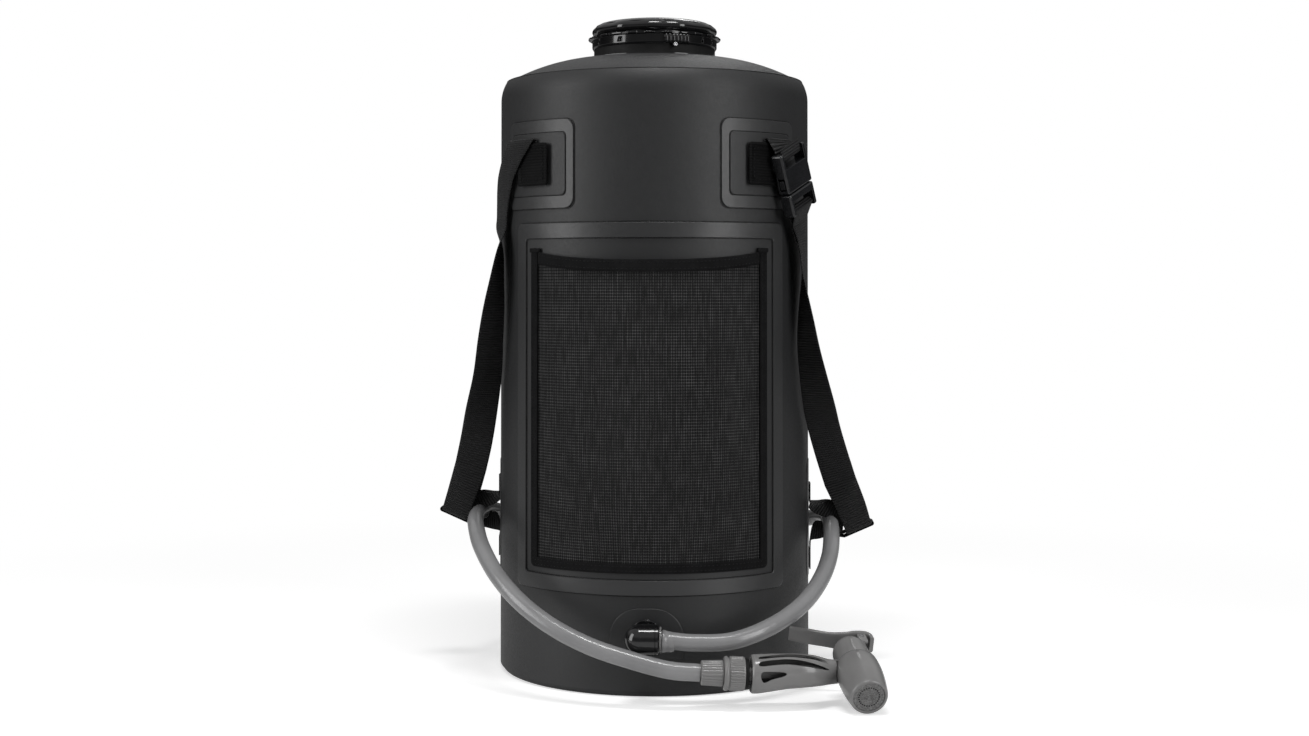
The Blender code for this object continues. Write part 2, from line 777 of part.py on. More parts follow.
def wall_station(side, arc, height, standoff, half_width):
    """A station on the wall, bent to it, whose half width lies level and points to the front."""
    angle = side * arc / mean_radius
    along = Vector((math.cos(angle), math.sin(angle), 0))
    outward = Vector((math.sin(angle), -math.cos(angle), 0))
    bend = outward * -(half_width**2) / (2 * mean_radius)
    return on_wall(side * arc, height, standoff), along * -side * half_width, bend


def free_station(side, out, depth, rise, turn, tilt):
    """A station off the wall. The turn and tilt, in degrees, give the way of its front edge."""
    turn = math.radians(turn)
    tilt = math.radians(tilt)
    way = Vector((side * math.cos(tilt) * math.cos(turn), math.cos(tilt) * math.sin(turn), math.sin(tilt)))
    place = Vector((side * out * mean_radius, depth * mean_radius, rise_from_eye(side, rise)))
    return place, way * strap_width / 2, Vector()


def fold_stations(side, half_width):
    """A strap's end under its keeper, and its turn over the keeper's upper edge."""
    arc = strap_fold_arc
    radius = (over_strap_standoff - under_strap_standoff) / 2
    middle, half, bend = wall_station(side, arc, strap_fold_height, under_strap_standoff + radius, half_width)
    outward = Vector((middle.x, middle.y, 0)).normalized()
    end_height = strap_fold_height - strap_end_run
    under = wall_station(side, arc - strap_end_run * 0.9, end_height, under_strap_standoff, half_width)
    return [under] + arc_stations(middle, outward * -radius, Vector((0, 0, radius)), half, 6, bend=bend)


def eye_frame(side):
    """Where the floor of a strap's eye is, and the ways along its fold and up the strap."""
    out, height = eye_place(side)
    along = Vector((side * math.cos(eye_tilt), 0, math.sin(eye_tilt)))
    up = Vector((-side * math.sin(eye_lean), 0, math.cos(eye_lean)))
    return Vector((side * out, 0, height)), along, up


def eye_stations(side, above):
    """The eye at a strap's foot: down its front leg, along its floor, and up the back to a sewn tail."""
    floor, along, up = eye_frame(side)
    back = Vector((0, 1, 0))
    narrow = along * eye_half_width
    wide = along * (eye_half_width + strap_width / 2) / 2
    front_top = (floor + up * eye_leg - back * eye_half_depth, wide, Vector())
    rear_top = (floor + up * eye_leg + back * eye_half_depth, wide, Vector())
    corner = eye_corner_radius
    run = back * (eye_half_depth - corner)
    turn_down = arc_stations(floor + up * corner - run, back * -corner, up * -corner, narrow, 3, 0.5)
    turn_up = arc_stations(floor + up * corner + run, up * -corner, back * corner, narrow, 3, 0.5)
    main = above + [front_top]
    step = (webbing + seat_gap) * -side
    merge = len(above) - 1
    tail = [beside(main, merge - i, step) for i in range(strap_tail_stations)]
    return main + turn_down + turn_up + [rear_top] + tail


def build_left_strap(strap_look):
    """The left strap: from its keeper down the wall, then free to the loop low on the side."""
    fold = fold_stations(-1, strap_fold_half_width)
    keys = []
    for arc, rise, standoff, width in left_wall_shares:
        height = rise_from_eye(-1, rise)
        standoff *= over_strap_standoff
        keys.append(wall_station(-1, arc * strap_fold_arc, height, standoff, width * strap_width))
    keys += [free_station(-1, *shares) for shares in left_free_shares]
    run = eased(keys, strap_stations)
    ribbon("strap_left", fold[:-1] + eye_stations(-1, run), webbing, strap_look)


def buckle_frame():
    """X along the buckle's bars to the outside, Y down the strap, Z off the wall."""
    outward = Vector((math.sin(buckle_angle), -math.cos(buckle_angle), 0))
    round_wall = Vector((math.cos(buckle_angle), math.sin(buckle_angle), 0))
    across = round_wall * math.cos(buckle_lean) + Vector((0, 0, math.sin(buckle_lean)))
    height = strap_fold_height - buckle_drop
    origin = on_wall(buckle_angle * mean_radius, height, buckle_standoff)
    return axis_frame(origin, across, outward)


def build_right_straps(strap_look):
    """The short strap above the buckle and the long one below it, each folded round its bar."""
    place = buckle_frame()
    across = place.col[0].xyz
    down = place.col[1].xyz * -1
    outward = place.col[2].xyz
    half = across * -strap_width / 2
    turn = buckle_bar_radius + turn_gap / 2 + webbing / 2 + clearance_step
    upper_bar = place.translation - down * bar_station
    lower_bar = place.translation + down * bar_station

    level = wall_station(1, strap_fold_arc, strap_fold_height, 0, stub_half_width)[1]
    stub = fold_stations(1, stub_half_width)
    stub += [
        (upper_bar - outward * turn - down * stub_lead, (level + half * 2) / 3, Vector()),
    ]
    stub += arc_stations(upper_bar, outward * -turn, down * turn, half, 8)
    stub += [
        (upper_bar + outward * turn - down * turn, half, Vector()),
        (upper_bar + outward * turn * 0.8 - down * stub_tail, half, Vector()),
    ]
    ribbon("strap_stub_right", stub, webbing, strap_look)

    keys = [(lower_bar - outward * turn + down * stub_lead, half, Vector())]
    keys += [free_station(1, *shares) for shares in right_free_shares]
    run = eased(keys, strap_stations)
    wrap = arc_stations(lower_bar, outward * turn, down * -turn, half, 8)
    close = webbing + seat_gap
    tail = [beside(run, i, close) for i in range(strap_tail_stations + 1, 1, -1)]
    below = (lower_bar + outward * turn + down * turn / 2, half, Vector())
    start = tail + [below] + wrap
    ribbon("strap_right", start + eye_stations(1, run), webbing, strap_look)


def build_anchor_loops(strap_look):
    """The bands sewn to the sides. Each goes over the hose, through a strap's eye and back to the wall."""
    for side, word, passing in ((-1, "left", hose_route[left_pass]), (1, "right", hose_route[right_pass])):
        floor, along, up = eye_frame(side)
        square = along.cross(Vector((0, 1, 0))) * -side
        square = square if square.z > 0 else -square
        step = webbing / 2 + seat_gap + loop_webbing / 2 + clearance_step
        half = Vector((0, loop_width / 2, 0))
        hose_out = abs(passing.x)

        def at(outer, rise):
            return Vector((side * outer, 0, rise))

        def near_wall(rise):
            return at(wall_radius(rise) + 2 * seat_gap + patch_thickness + loop_webbing / 2, rise)

        top = passing.z + loop_rise
        over = [near_wall(top)]
        over += [at(hose_out + x * hose_radius, passing.z + z * hose_radius) for x, z in loop_over_shares]
        start = floor - along * (eye_half_width + loop_overhang)
        path = [near_wall(top + loop_tail)] + smooth_through(over + [start + square * step], 18)
        tip = floor + along * eye_half_width
        path += [floor + square * step]
        path += [place for place, _, _ in arc_stations(tip, square * step, along * step, half, 6)]
        path += [floor - square * step, start - square * step]
        low = floor.z - loop_drop
        out_share, rise_share = loop_under_share
        bulge = at(hose_out + out_share * hose_radius, low + rise_share * hose_radius)
        path += smooth_through([path[-1], bulge, near_wall(low)], 7)[1:] + [near_wall(low - loop_tail)]
        ribbon(f"anchor_loop_{word}", [(place, half, Vector()) for place in path], loop_webbing, strap_look)


def build_buckle(plastic):
    """The side-release buckle: a body with the upper bar, a base with the lower bar, and two arms."""
    place = buckle_frame() @ Matrix.Rotation(math.pi, 4, "Z")
    half_width = buckle_width / 2
    half_thick = buckle_thickness / 2
    end = buckle_half_length
    low = (-half_width, -end, -half_thick)
    body = block("buckle_female", low, (half_width, body_end, half_thick), plastic, place, buckle_edge)
    inner = half_width - buckle_wall
    hollow = half_thick - buckle_wall
    low = (-inner, body_end - cavity_depth, -hollow)
    combine(body, block("body_cavity", low, (inner, end, hollow), plastic, place))
    window = block(
        "body_windows",
        (-buckle_width, window_start, -arm_thickness / 2 - turn_gap),
        (buckle_width, window_end, arm_thickness / 2 + turn_gap),
        plastic,
        place,
    )
    combine(body, window)
    cut_bar(body, -1, place, plastic)
    low = (-half_width, base_start, -half_thick)
    base = block("buckle_male", low, (half_width, end, half_thick), plastic, place, buckle_edge)
    prong = block(
        "prong",
        (-prong_width / 2, prong_tip, -prong_thickness / 2),
        (prong_width / 2, base_start + buckle_wall * 2, prong_thickness / 2),
        plastic,
        place,
    )
    combine(base, prong, "UNION")
    cut_bar(base, 1, place, plastic)
    for side, word in ((-1, "rear"), (1, "front")):
        pivot = place @ Matrix.Translation((side * arm_pivot, base_start - seat_gap, 0))
        low_x, high_x = sorted((side * (arm_inner - arm_pivot), side * (arm_inner + arm_width - arm_pivot)))
        arm = block(
            f"buckle_arm_{word}",
            (low_x, pad_start - base_start + seat_gap, -arm_thickness / 2),
            (high_x, 0, arm_thickness / 2),
            plastic,
            pivot,
        )
        inner_side = side * (arm_inner - arm_pivot + buckle_wall)
        low_x, high_x = sorted((inner_side, side * (half_width - arm_pivot)))
        pad = block(
            f"pad_{word}",
            (low_x, pad_start - base_start + seat_gap, -arm_thickness / 2 + seat_gap),
            (high_x, pad_end - base_start, arm_thickness / 2 - seat_gap),
            plastic,
            pivot,
        )
        combine(arm, pad, "UNION")


def cut_bar(piece, way, place, plastic):
    """Opens a slot for the strap and leaves the bar beyond it round, thinner than its rails."""
    half = strap_width / 2 + slot_side
    inner = bar_station - buckle_bar_radius - buckle_slot_height
    low, high = sorted((way * inner, way * (buckle_half_length + overrun)))
    near = (-half, low, -buckle_thickness)
    combine(piece, block(f"slot_{piece.name}", near, (half, high, buckle_thickness), plastic, place))
    end = half + overrun
    bar = turned(
        f"bar_{piece.name}",
        [(0, -end), (buckle_bar_radius, -end), (buckle_bar_radius, end), (0, end)],
        plastic,
        place @ Matrix.Translation((0, way * bar_station, 0)) @ turned_along_x(),
        steps=wire_steps,
    )
    combine(piece, bar, "UNION")


# Neck, collar and lid


def build_neck(plastic, rubber, steel):
    """The spout in the neck, the split ring that clamps the fabric to it, and the lid with its seal."""
    flange_top = dome_top - spout_flange_drop
    flange_low = flange_top - spout_flange_thickness
    rim = spout_radius + spout_flange_width
    turned(
        "neck_spout",
        [
            (spout_bore_radius, flange_low),
            (rim, flange_low),
            (rim, flange_top),
            (spout_radius, flange_top),
            (spout_radius, spout_top),
            (spout_bore_radius, spout_top),
        ],
        plastic,
        steps=neck_steps,
    )
    bore = spout_radius + 2 * seat_gap + fabric + turn_gap / 2
    outer = bore + collar_wall - collar_lip
    ring = turned(
        "collar_ring",
        [
            (bore, collar_bottom),
            (outer, collar_bottom),
            (outer, collar_top - collar_lip_height),
            (outer + collar_lip, collar_top - collar_lip_height),
            (outer + collar_lip, collar_top),
            (bore, collar_top),
        ],
        plastic,
        steps=neck_steps,
    )
    turn = Matrix.Rotation(clasp_azimuth, 4, "Z")
    split = block(
        "collar_split",
        (-collar_split / 2, -outer - overrun - collar_lip, collar_bottom - overrun),
        (collar_split / 2, -bore + overrun, collar_top + overrun),
        plastic,
        turn,
    )
    combine(ring, split)
    for i in range(notches):
        notch = block(
            f"notch_{i}",
            (-notch_width / 2, -outer - overrun, collar_bottom + notch_drop),
            (notch_width / 2, -outer + notch_depth, collar_top - collar_lip_height - notch_drop),
            plastic,
            Matrix.Rotation(notch_first + notch_step * i, 4, "Z"),
        )
        combine(ring, notch)
    flat = -outer - turn_gap
    clasp = block(
        "collar_clasp",
        (-clasp_length / 2, flat - clasp_thickness, collar_bottom + seat_gap),
        (clasp_length / 2, flat, collar_top - collar_lip_height - seat_gap),
        plastic,
        turn,
        edge=clasp_thickness / 5,
    )
    screw_height = (collar_bottom + collar_top) / 2
    screw_place = turn @ Matrix.Translation((clasp_length / 4, flat - clasp_thickness, screw_height))
    screw_place = screw_place @ Matrix.Rotation(-math.pi / 2, 4, "X")
    shank = clasp_thickness + turn_gap + screw_bite
    hole = screw_radius + seat_gap
    for piece in (clasp, ring):
        drill = turned(
            f"screw_hole_{piece.name}",
            [(0, -overrun), (hole, -overrun), (hole, shank + turn_gap), (0, shank + turn_gap)],
            plastic,
            screw_place,
            steps=pin_steps,
        )
        combine(piece, drill)
    turned(
        "collar_screw",
        [
            (0, -screw_head_height - seat_gap),
            (screw_head_radius, -screw_head_height - seat_gap),
            (screw_head_radius, -seat_gap),
            (screw_radius, -seat_gap),
            (screw_radius, shank),
            (0, shank),
        ],
        steel,
        screw_place,
        steps=pin_steps,
    )
    seal_bore = spout_bore_radius - turn_gap
    turned(
        "lid_seal",
        [
            (seal_bore, seal_top - seal_thickness),
            (spout_radius, seal_top - seal_thickness),
            (spout_radius, seal_top),
            (seal_bore, seal_top),
        ],
        rubber,
        steps=neck_steps,
    )
    build_lid(plastic)


def build_lid(plastic):
    """The lid: a cap whose side has shallow lobes to grip."""
    skirt_bore = spout_radius + turn_gap
    floor = lid_top - lid_top_thickness
    steps = lid_lobes * 4
    bm = bmesh.new()
    rings = []
    profile = (
        (0.72, 1.0, 0.0),
        (0.93, 0.97, 0.2),
        (0.985, 0.88, 0.6),
        (1.0, 0.7, 1.0),
        (1.0, 0.0, 1.0),
    )
    for radius_share, height_share, lobe_share in profile:
        loop = []
        for i in range(steps):
            angle = 2 * math.pi * i / steps
            wave = (1 - math.cos(lid_lobes * angle)) / 2
            radius = lid_radius * radius_share - lid_lobe_depth * lobe_share * wave
            height = lid_bottom + lid_height * height_share
            loop.append(bm.verts.new((radius * math.cos(angle), radius * math.sin(angle), height)))
        rings.append(loop)
    for radius, height in ((skirt_bore, lid_bottom), (skirt_bore, floor)):
        loop = []
        for i in range(steps):
            angle = 2 * math.pi * i / steps
            loop.append(bm.verts.new((radius * math.cos(angle), radius * math.sin(angle), height)))
        rings.append(loop)
    for first, second in zip(rings, rings[1:]):
        for i in range(steps):
            j = (i + 1) % steps
            bm.faces.new((first[i], first[j], second[j], second[i]))
    bm.faces.new(rings[0])
    bm.faces.new(rings[-1])
    finished("lid", bm, plastic, smooth=50)


# Outlet


def along_y(height, y):
    """A frame whose Z points into the tank, through the wall at the front."""
    return Matrix.Translation((0, y, height)) @ Matrix.Rotation(-math.pi / 2, 4, "X")


def build_outlet(side_wall, outlet_patch, plastic, rubber):
    """The bulkhead fitting through the wall, its gasket and nut inside, and the elbow in front."""
    seat = wall_radius(outlet_height) + patch_thickness + 2 * seat_gap
    place = along_y(outlet_height, -seat)
    for piece in (side_wall, outlet_patch):
        hole = shank_radius + hole_clearance
        reach = shank_length + overrun
        rod = [(0, -reach), (hole, -reach), (hole, reach), (0, reach)]
        cutter = turned(f"outlet_hole_{piece.name}", rod, plastic, place)
        combine(piece, cutter)
    bore = spigot_radius + seat_gap
    turned(
        "outlet_bulkhead",
        [
            (bore, -flange_thickness),
            (flange_radius - fabric, -flange_thickness),
            (flange_radius, -flange_thickness / 2),
            (flange_radius, 0),
            (shank_radius, 0),
            (shank_radius, shank_length),
            (bore, shank_length),
        ],
        plastic,
        place,
    )
    bed = math.sqrt((wall_radius(outlet_height) - fabric) ** 2 - inner_gasket_radius**2) - turn_gap
    inside = along_y(outlet_height, -bed)
    nut_bore = shank_radius + seat_gap
    turned(
        "outlet_gasket",
        [
            (nut_bore, 0),
            (inner_gasket_radius, 0),
            (inner_gasket_radius, inner_gasket_height),
            (nut_bore, inner_gasket_height),
        ],
        rubber,
        inside,
    )
    nut_low = inner_gasket_height + seat_gap
    nut_high = nut_low + inner_nut_height
    nut = turned(
        "outlet_nut",
        [(0, nut_low), (inner_nut_radius, nut_low), (inner_nut_radius, nut_high), (0, nut_high)],
        plastic,
        inside,
        steps=6,
    )
    drill = turned(
        "nut_bore",
        [(0, 0), (nut_bore, 0), (nut_bore, nut_high + overrun), (0, nut_high + overrun)],
        plastic,
        inside,
    )
    combine(nut, drill)
    build_elbow(seat, plastic)


def build_elbow(seat, plastic):
    """The elbow turns the water from the bulkhead to the hose."""
    centre = Matrix.Translation((0, -outlet_reach, outlet_height))
    bend = [math.pi / 2 * i / 5 for i in range(6)]
    dome = [(elbow_radius * math.sin(a), elbow_radius * (1 - math.cos(a)) - elbow_left) for a in bend]
    edge = elbow_radius / 8
    body = turned(
        "elbow",
        dome + [(elbow_radius, elbow_right - edge), (elbow_radius - edge, elbow_right), (0, elbow_right)],
        plastic,
        centre @ turned_along_x(),
    )
    stem_end = outlet_reach - seat - flange_thickness - seat_gap
    stem = turned(
        "elbow_stem",
        [(0, 0), (stem_radius, 0), (stem_radius, stem_end), (spigot_radius, stem_end)]
        + [(spigot_radius, stem_end + spigot_length), (0, stem_end + spigot_length)],
        plastic,
        along_y(outlet_height, -outlet_reach),
    )
    combine(body, stem, "UNION")
    bore = outlet_bore_radius
    runs = (
        ("elbow_bore", centre @ turned_along_x(), elbow_right + overrun),
        ("stem_bore", along_y(outlet_height, -outlet_reach), stem_end + spigot_length + overrun),
    )
    for name, place, reach in runs:
        rod = [(0, -bore), (bore, -bore / 2), (bore, reach), (0, reach)]
        cutter = turned(name, rod, plastic, place)
        combine(body, cutter)


def hose_curve():
    """Points a little over one radius apart on a smooth curve through the route."""
    fine = smooth_through(hose_route, 900)
    lengths = [0.0]
    for first, second in zip(fine, fine[1:]):
        lengths.append(lengths[-1] + (second - first).length)
    chosen = []
    k = 0
    for i in range(hose_points):
        goal = lengths[-1] * i / (hose_points - 1)
        while k < len(fine) - 2 and lengths[k + 1] < goal:
            k += 1
        chosen.append(fine[k].lerp(fine[k + 1], (goal - lengths[k]) / (lengths[k + 1] - lengths[k])))
    return chosen


def build_hose(hose_look, clip_look):
    """The hose, and the band that clips its end to the elbow."""
    curve = bpy.data.curves.new("hose", "CURVE")
    curve.dimensions = "3D"
    curve.bevel_depth = hose_radius
    curve.bevel_resolution = 2
    curve.use_fill_caps = True
    points = hose_curve()
    spline = curve.splines.new("POLY")
    spline.points.add(len(points) - 1)
    for target, place in zip(spline.points, points):
        target.co = (*place, 1)
    curve.materials.append(hose_look)
    hose = bpy.data.objects.new("hose", curve)
    bpy.context.scene.collection.objects.link(hose)
    along = (points[1] - points[0]).normalized()
    place = axis_frame(points[0] + along * clip_station, along, Vector((0, 0, 1)))
    bore = hose_radius + seat_gap + clearance_step
    half = clip_width / 2
    clip = turned(
        "hose_clip",
        [(bore, -half), (bore + clip_thickness, -half), (bore + clip_thickness, half), (bore, half)],
        clip_look,
        place @ turned_along_x(),
    )
    top = bore + clip_thickness
    tab = block(
        "clip_tab",
        (-half, -clip_tab_width / 2, top - clip_thickness / 2),
        (half, clip_tab_width / 2, top + clip_tab_height),
        clip_look,
        place,
    )
    combine(clip, tab, "UNION")


# Sprayer


def sprayer_frames():
    """The handle's frame, with X along it from the hose, and the head's, with Z the way it sprays."""
    up = spray_direction.cross(handle_way).normalized()
    across = up.cross(spray_direction)
    head = Matrix.Translation(handle_joint) @ Matrix((across, up, spray_direction)).transposed().to_4x4()
    forward = handle_way.cross(up)
    handle = Matrix.Translation(handle_joint) @ Matrix((handle_way, up, forward)).transposed().to_4x4()
    return handle, head


def ribbed(name, profile, ribs, surface, place):
    """A ring turned about X whose outside is ribbed. The profile lists (start, radius), then the bore."""
    steps = ribs * 3
    bm = bmesh.new()
    rings = []
    for station, radius, ripple in profile:
        loop = []
        for i in range(steps):
            angle = 2 * math.pi * i / steps
            reach = radius - (ripple if i % 3 == 0 else 0)
            loop.append(bm.verts.new((station, reach * math.cos(angle), reach * math.sin(angle))))
        rings.append(loop)
    for first, second in zip(rings, rings[1:] + rings[:1]):
        for i in range(steps):
            j = (i + 1) % steps
            bm.faces.new((first[i], first[j], second[j], second[i]))
    return finished(name, bm, surface, place)


def in_handle(share):
    """A place in the handle, from shares of its length and of its radius."""
    along, *across = share
    return (along * handle_start, *(value * handle_radius for value in across))


def build_couplings(place, plastic, rubber):
    """The nut on the hose, the coupling sleeve that turns, its black ring, and the tube inside."""
    left = -handle_reach
    nut_end = left + hose_nut_length
    bore = coupling_bore_radius
    ribbed(
        "hose_nut",
        (
            (left, hose_nut_small_radius, 0),
            (left + rib_depth, hose_nut_small_radius + rib_depth, rib_depth),
            (nut_end, hose_nut_radius, rib_depth),
            (nut_end, bore, 0),
            (left, bore, 0),
        ),
        nut_ribs,
        plastic,
        place,
    )
    start = nut_end + seat_gap
    bead = start + bead_length
    end = bead + sleeve_length - 3 * seat_gap
    sleeve_place = place @ Matrix.Translation((start, 0, 0))
    ribbed(
        "coupling_sleeve",
        (
            (0, sleeve_radius - 3 * rib_depth, 0),
            (bead_length / 4, sleeve_radius, 0),
            (bead_length * 3 / 4, sleeve_radius, 0),
            (bead_length, sleeve_radius - 2 * rib_depth, 0),
            (bead_length + rib_depth, sleeve_radius, rib_depth),
            (end - start - rib_depth, sleeve_radius, rib_depth),
            (end - start, sleeve_radius - rib_depth, 0),
            (end - start, bore, 0),
            (0, bore, 0),
        ),
        sleeve_ribs,
        plastic,
        sleeve_place,
    )
    ring_start = end + seat_gap
    turned(
        "coupling_seal",
        [
            (bore, ring_start),
            (ring_seal_radius, ring_start),
            (ring_seal_radius, -handle_start - seat_gap),
            (bore, -handle_start - seat_gap),
        ],
        rubber,
        place @ turned_along_x(),
    )
    stations = [(left + tube_inset, 0, 0)] + [in_handle(share)[:3] for share in handle_section_shares[1:-2]]
    stations += [in_handle(tube_tip_share)]
    outside = [round_loop(*station, tube_radius, tube_steps) for station in stations]
    inside = [round_loop(*station, tube_bore_radius, tube_steps) for station in reversed(stations)]
    lofted("sprayer_tube", outside + inside, plastic, place, ring=True)


def round_loop(station, rise, forward, radius, steps):
    """A ring of points round the handle's length."""
    angles = [2 * math.pi * i / steps for i in range(steps)]
    return [(station, rise + radius * math.cos(a), forward + radius * math.sin(a)) for a in angles]


def build_sprayer_body(handle_place, head_place, plastic):
    """The handle and the barrel behind the spray head, moulded in one."""
    sections = [in_handle(share) for share in handle_section_shares]
    rings = [round_loop(*section, handle_steps) for section in sections]
    body = lofted("sprayer_body", rings, plastic, handle_place, smooth=40)
    for name, shares in (
        ("upper_slot", upper_slot_shares),
        ("lower_slot", lower_slot_shares),
        ("side_window", side_window_shares),
    ):
        outline = [in_handle(share) for share in shares]
        loops = [[(x, y, z) for x, y in outline] for z in (handle_wall / 2, handle_radius + overrun)]
        combine(body, lofted(name, loops, plastic, handle_place))
    clear = cap_radius + cap_clearance
    front = handle_to_face
    back = clearance_step - barrel_front
    space = turned("cap_space", [(0, back), (clear, back), (clear, front), (0, front)], plastic, head_place)
    combine(body, space)
    back = -barrel_back
    barrel = turned(
        "barrel",
        [
            (0, back - barrel_dome),
            (barrel_radius * 0.55, back - barrel_dome * 0.8),
            (barrel_radius * 0.82, back - barrel_dome * 0.3),
            (barrel_radius * 0.93, back + barrel_dome * 0.4),
            (barrel_radius, back + barrel_dome * 3),
            (barrel_radius, -barrel_front),
            (thread_radius, -barrel_front),
            (thread_radius, thread_reach),
            (0, thread_reach),
        ],
        plastic,
        head_place,
    )
    combine(body, barrel, "UNION")
    for sign, word in ((-1, "low"), (1, "high")):
        near = knuckle_width / 2 + seat_gap
        low, high = sorted((sign * near, sign * (near + ear_thickness)))
        ear = block(
            f"ear_{word}",
            (pivot_offset - ear_half_length, low, -pivot_back - ear_half_length),
            (pivot_offset + ear_half_length, high, -ear_front),
            plastic,
            head_place,
            edge=ear_thickness / 3,
        )
        combine(body, ear, "UNION")
    chamber = turned(
        "chamber",
        [
            (0, -pivot_back - overrun),
            (rod_radius + seat_gap, -pivot_back - overrun),
            (rod_radius + seat_gap, -chamber_back),
            (barrel_bore_radius, -chamber_back),
            (barrel_bore_radius, -seat_front - seat_height),
            (seat_bore_radius, -seat_front - seat_height),
            (seat_bore_radius, -seat_front),
            (barrel_bore_radius, -seat_front),
            (barrel_bore_radius, thread_reach + overrun),
            (0, thread_reach + overrun),
        ],
        plastic,
        head_place,
    )
    combine(body, chamber)
    bore = tube_radius + seat_gap
    hollow = [(x, rise, forward, radius - handle_wall) for x, rise, forward, radius in sections[2:-1]]
    nearest = hollow[0]
    farthest = hollow[-1]
    rings = [round_loop(-handle_start - overrun, 0, 0, bore, handle_steps)]
    rings += [round_loop(*nearest[:3], bore, handle_steps)]
    rings += [round_loop(*section, handle_steps) for section in hollow]
    tips = (farthest[:3], in_handle(water_way_tip_share))
    rings += [round_loop(*tip, water_way_radius, handle_steps) for tip in tips]
    combine(body, lofted("handle_hollow", rings, plastic, handle_place))
    pin = pin_radius + pin_clearance
    pin_reach = lever_width
    pivot = head_place @ Matrix.Translation((pivot_offset, 0, -pivot_back))
    pin_way = turned(
        "pin_way",
        [(0, -pin_reach), (pin, -pin_reach), (pin, pin_reach), (0, pin_reach)],
        plastic,
        pivot @ Matrix.Rotation(math.pi / 2, 4, "X"),
        steps=pin_steps,
    )
    combine(body, pin_way)


def build_spray_head(head_place, plastic):
    """The cap screwed on the barrel's neck, and the plate with its ring of fine holes."""
    face = handle_to_face
    seat = face - plate_recess - plate_thickness - 2 * seat_gap
    back = turn_gap - barrel_front
    turned(
        "spray_cap",
        [
            (thread_radius + turn_gap, back),
            (cap_radius - cap_edge, back),
            (cap_radius, back + cap_edge),
            (cap_radius, face * 0.2),
            (cap_radius * 0.96, face * 0.6),
            (cap_face_radius + cap_edge / 3, face - cap_edge),
            (cap_face_radius - cap_edge, face),
            (cap_opening_radius, face),
            (cap_opening_radius, seat),
            (cap_bore_radius, seat),
            (cap_bore_radius, thread_reach + seat_gap),
            (thread_radius + turn_gap, thread_reach + seat_gap),
        ],
        plastic,
        head_place,
    )
    low = seat + seat_gap
    high = low + plate_thickness
    rim = cap_opening_radius - seat_gap
    plate = turned(
        "spray_plate",
        [
            (0, low),
            (rim, low),
            (rim, high),
            (ridge_radius + 2 * ridge_height, high),
            (ridge_radius, high + ridge_height),
            (ridge_radius - 2 * ridge_height, high),
            (0, high),
        ],
        plastic,
        head_place,
    )
    bm = bmesh.new()
    for i in range(nozzle_holes):
        turn = Matrix.Rotation(2 * math.pi * i / nozzle_holes, 4, "Z")
        middle = turn @ Vector((nozzle_ring_radius, 0, (low + high) / 2))
        bmesh.ops.create_cone(
            bm,
            cap_ends=True,
            segments=5,
            radius1=nozzle_radius,
            radius2=nozzle_radius,
            depth=plate_thickness + overrun,
            matrix=Matrix.Translation(middle),
        )
    combine(plate, finished("nozzles", bm, plastic, head_place))


def build_valve(head_place, plastic, rubber, steel):
    """The rod that the lever pushes, its seal, the spring that sends it back, the lever and its pin."""
    back = -seat_front - seat_height - seat_gap - spring_length - seat_gap
    disc_low = -seat_front + seat_gap + valve_seal_height + seat_gap
    turned(
        "valve_plunger",
        [
            (0, -rod_back),
            (rod_radius, -rod_back),
            (rod_radius, back - spring_seat_height),
            (spring_seat_radius, back - spring_seat_height),
            (spring_seat_radius, back),
            (rod_radius, back),
            (rod_radius, disc_low),
            (disc_radius, disc_low),
            (disc_radius, disc_low + disc_height),
            (0, disc_low + disc_height),
        ],
        plastic,
        head_place,
        steps=fitting_steps,
    )
    seal_bore = rod_radius + seat_gap
    turned(
        "valve_seal",
        [
            (seal_bore, -seat_front + seat_gap),
            (valve_seal_radius, -seat_front + seat_gap),
            (valve_seal_radius, disc_low - seat_gap),
            (seal_bore, disc_low - seat_gap),
        ],
        rubber,
        head_place,
    )
    curve = bpy.data.curves.new("valve_spring", "CURVE")
    curve.dimensions = "3D"
    curve.bevel_depth = spring_wire_radius
    curve.bevel_resolution = 0
    curve.use_fill_caps = True
    count = spring_turns * spring_points_a_turn + 1
    spline = curve.splines.new("POLY")
    spline.points.add(count - 1)
    rise = spring_length - 2 * spring_wire_radius
    for i, target in enumerate(spline.points):
        angle = 2 * math.pi * i / spring_points_a_turn
        height = back + seat_gap + spring_wire_radius + rise * i / (count - 1)
        target.co = (spring_radius * math.cos(angle), spring_radius * math.sin(angle), height, 1)
    curve.materials.append(steel)
    spring = bpy.data.objects.new("valve_spring", curve)
    spring.matrix_world = head_place
    bpy.context.scene.collection.objects.link(spring)
    build_lever(head_place, plastic, steel)


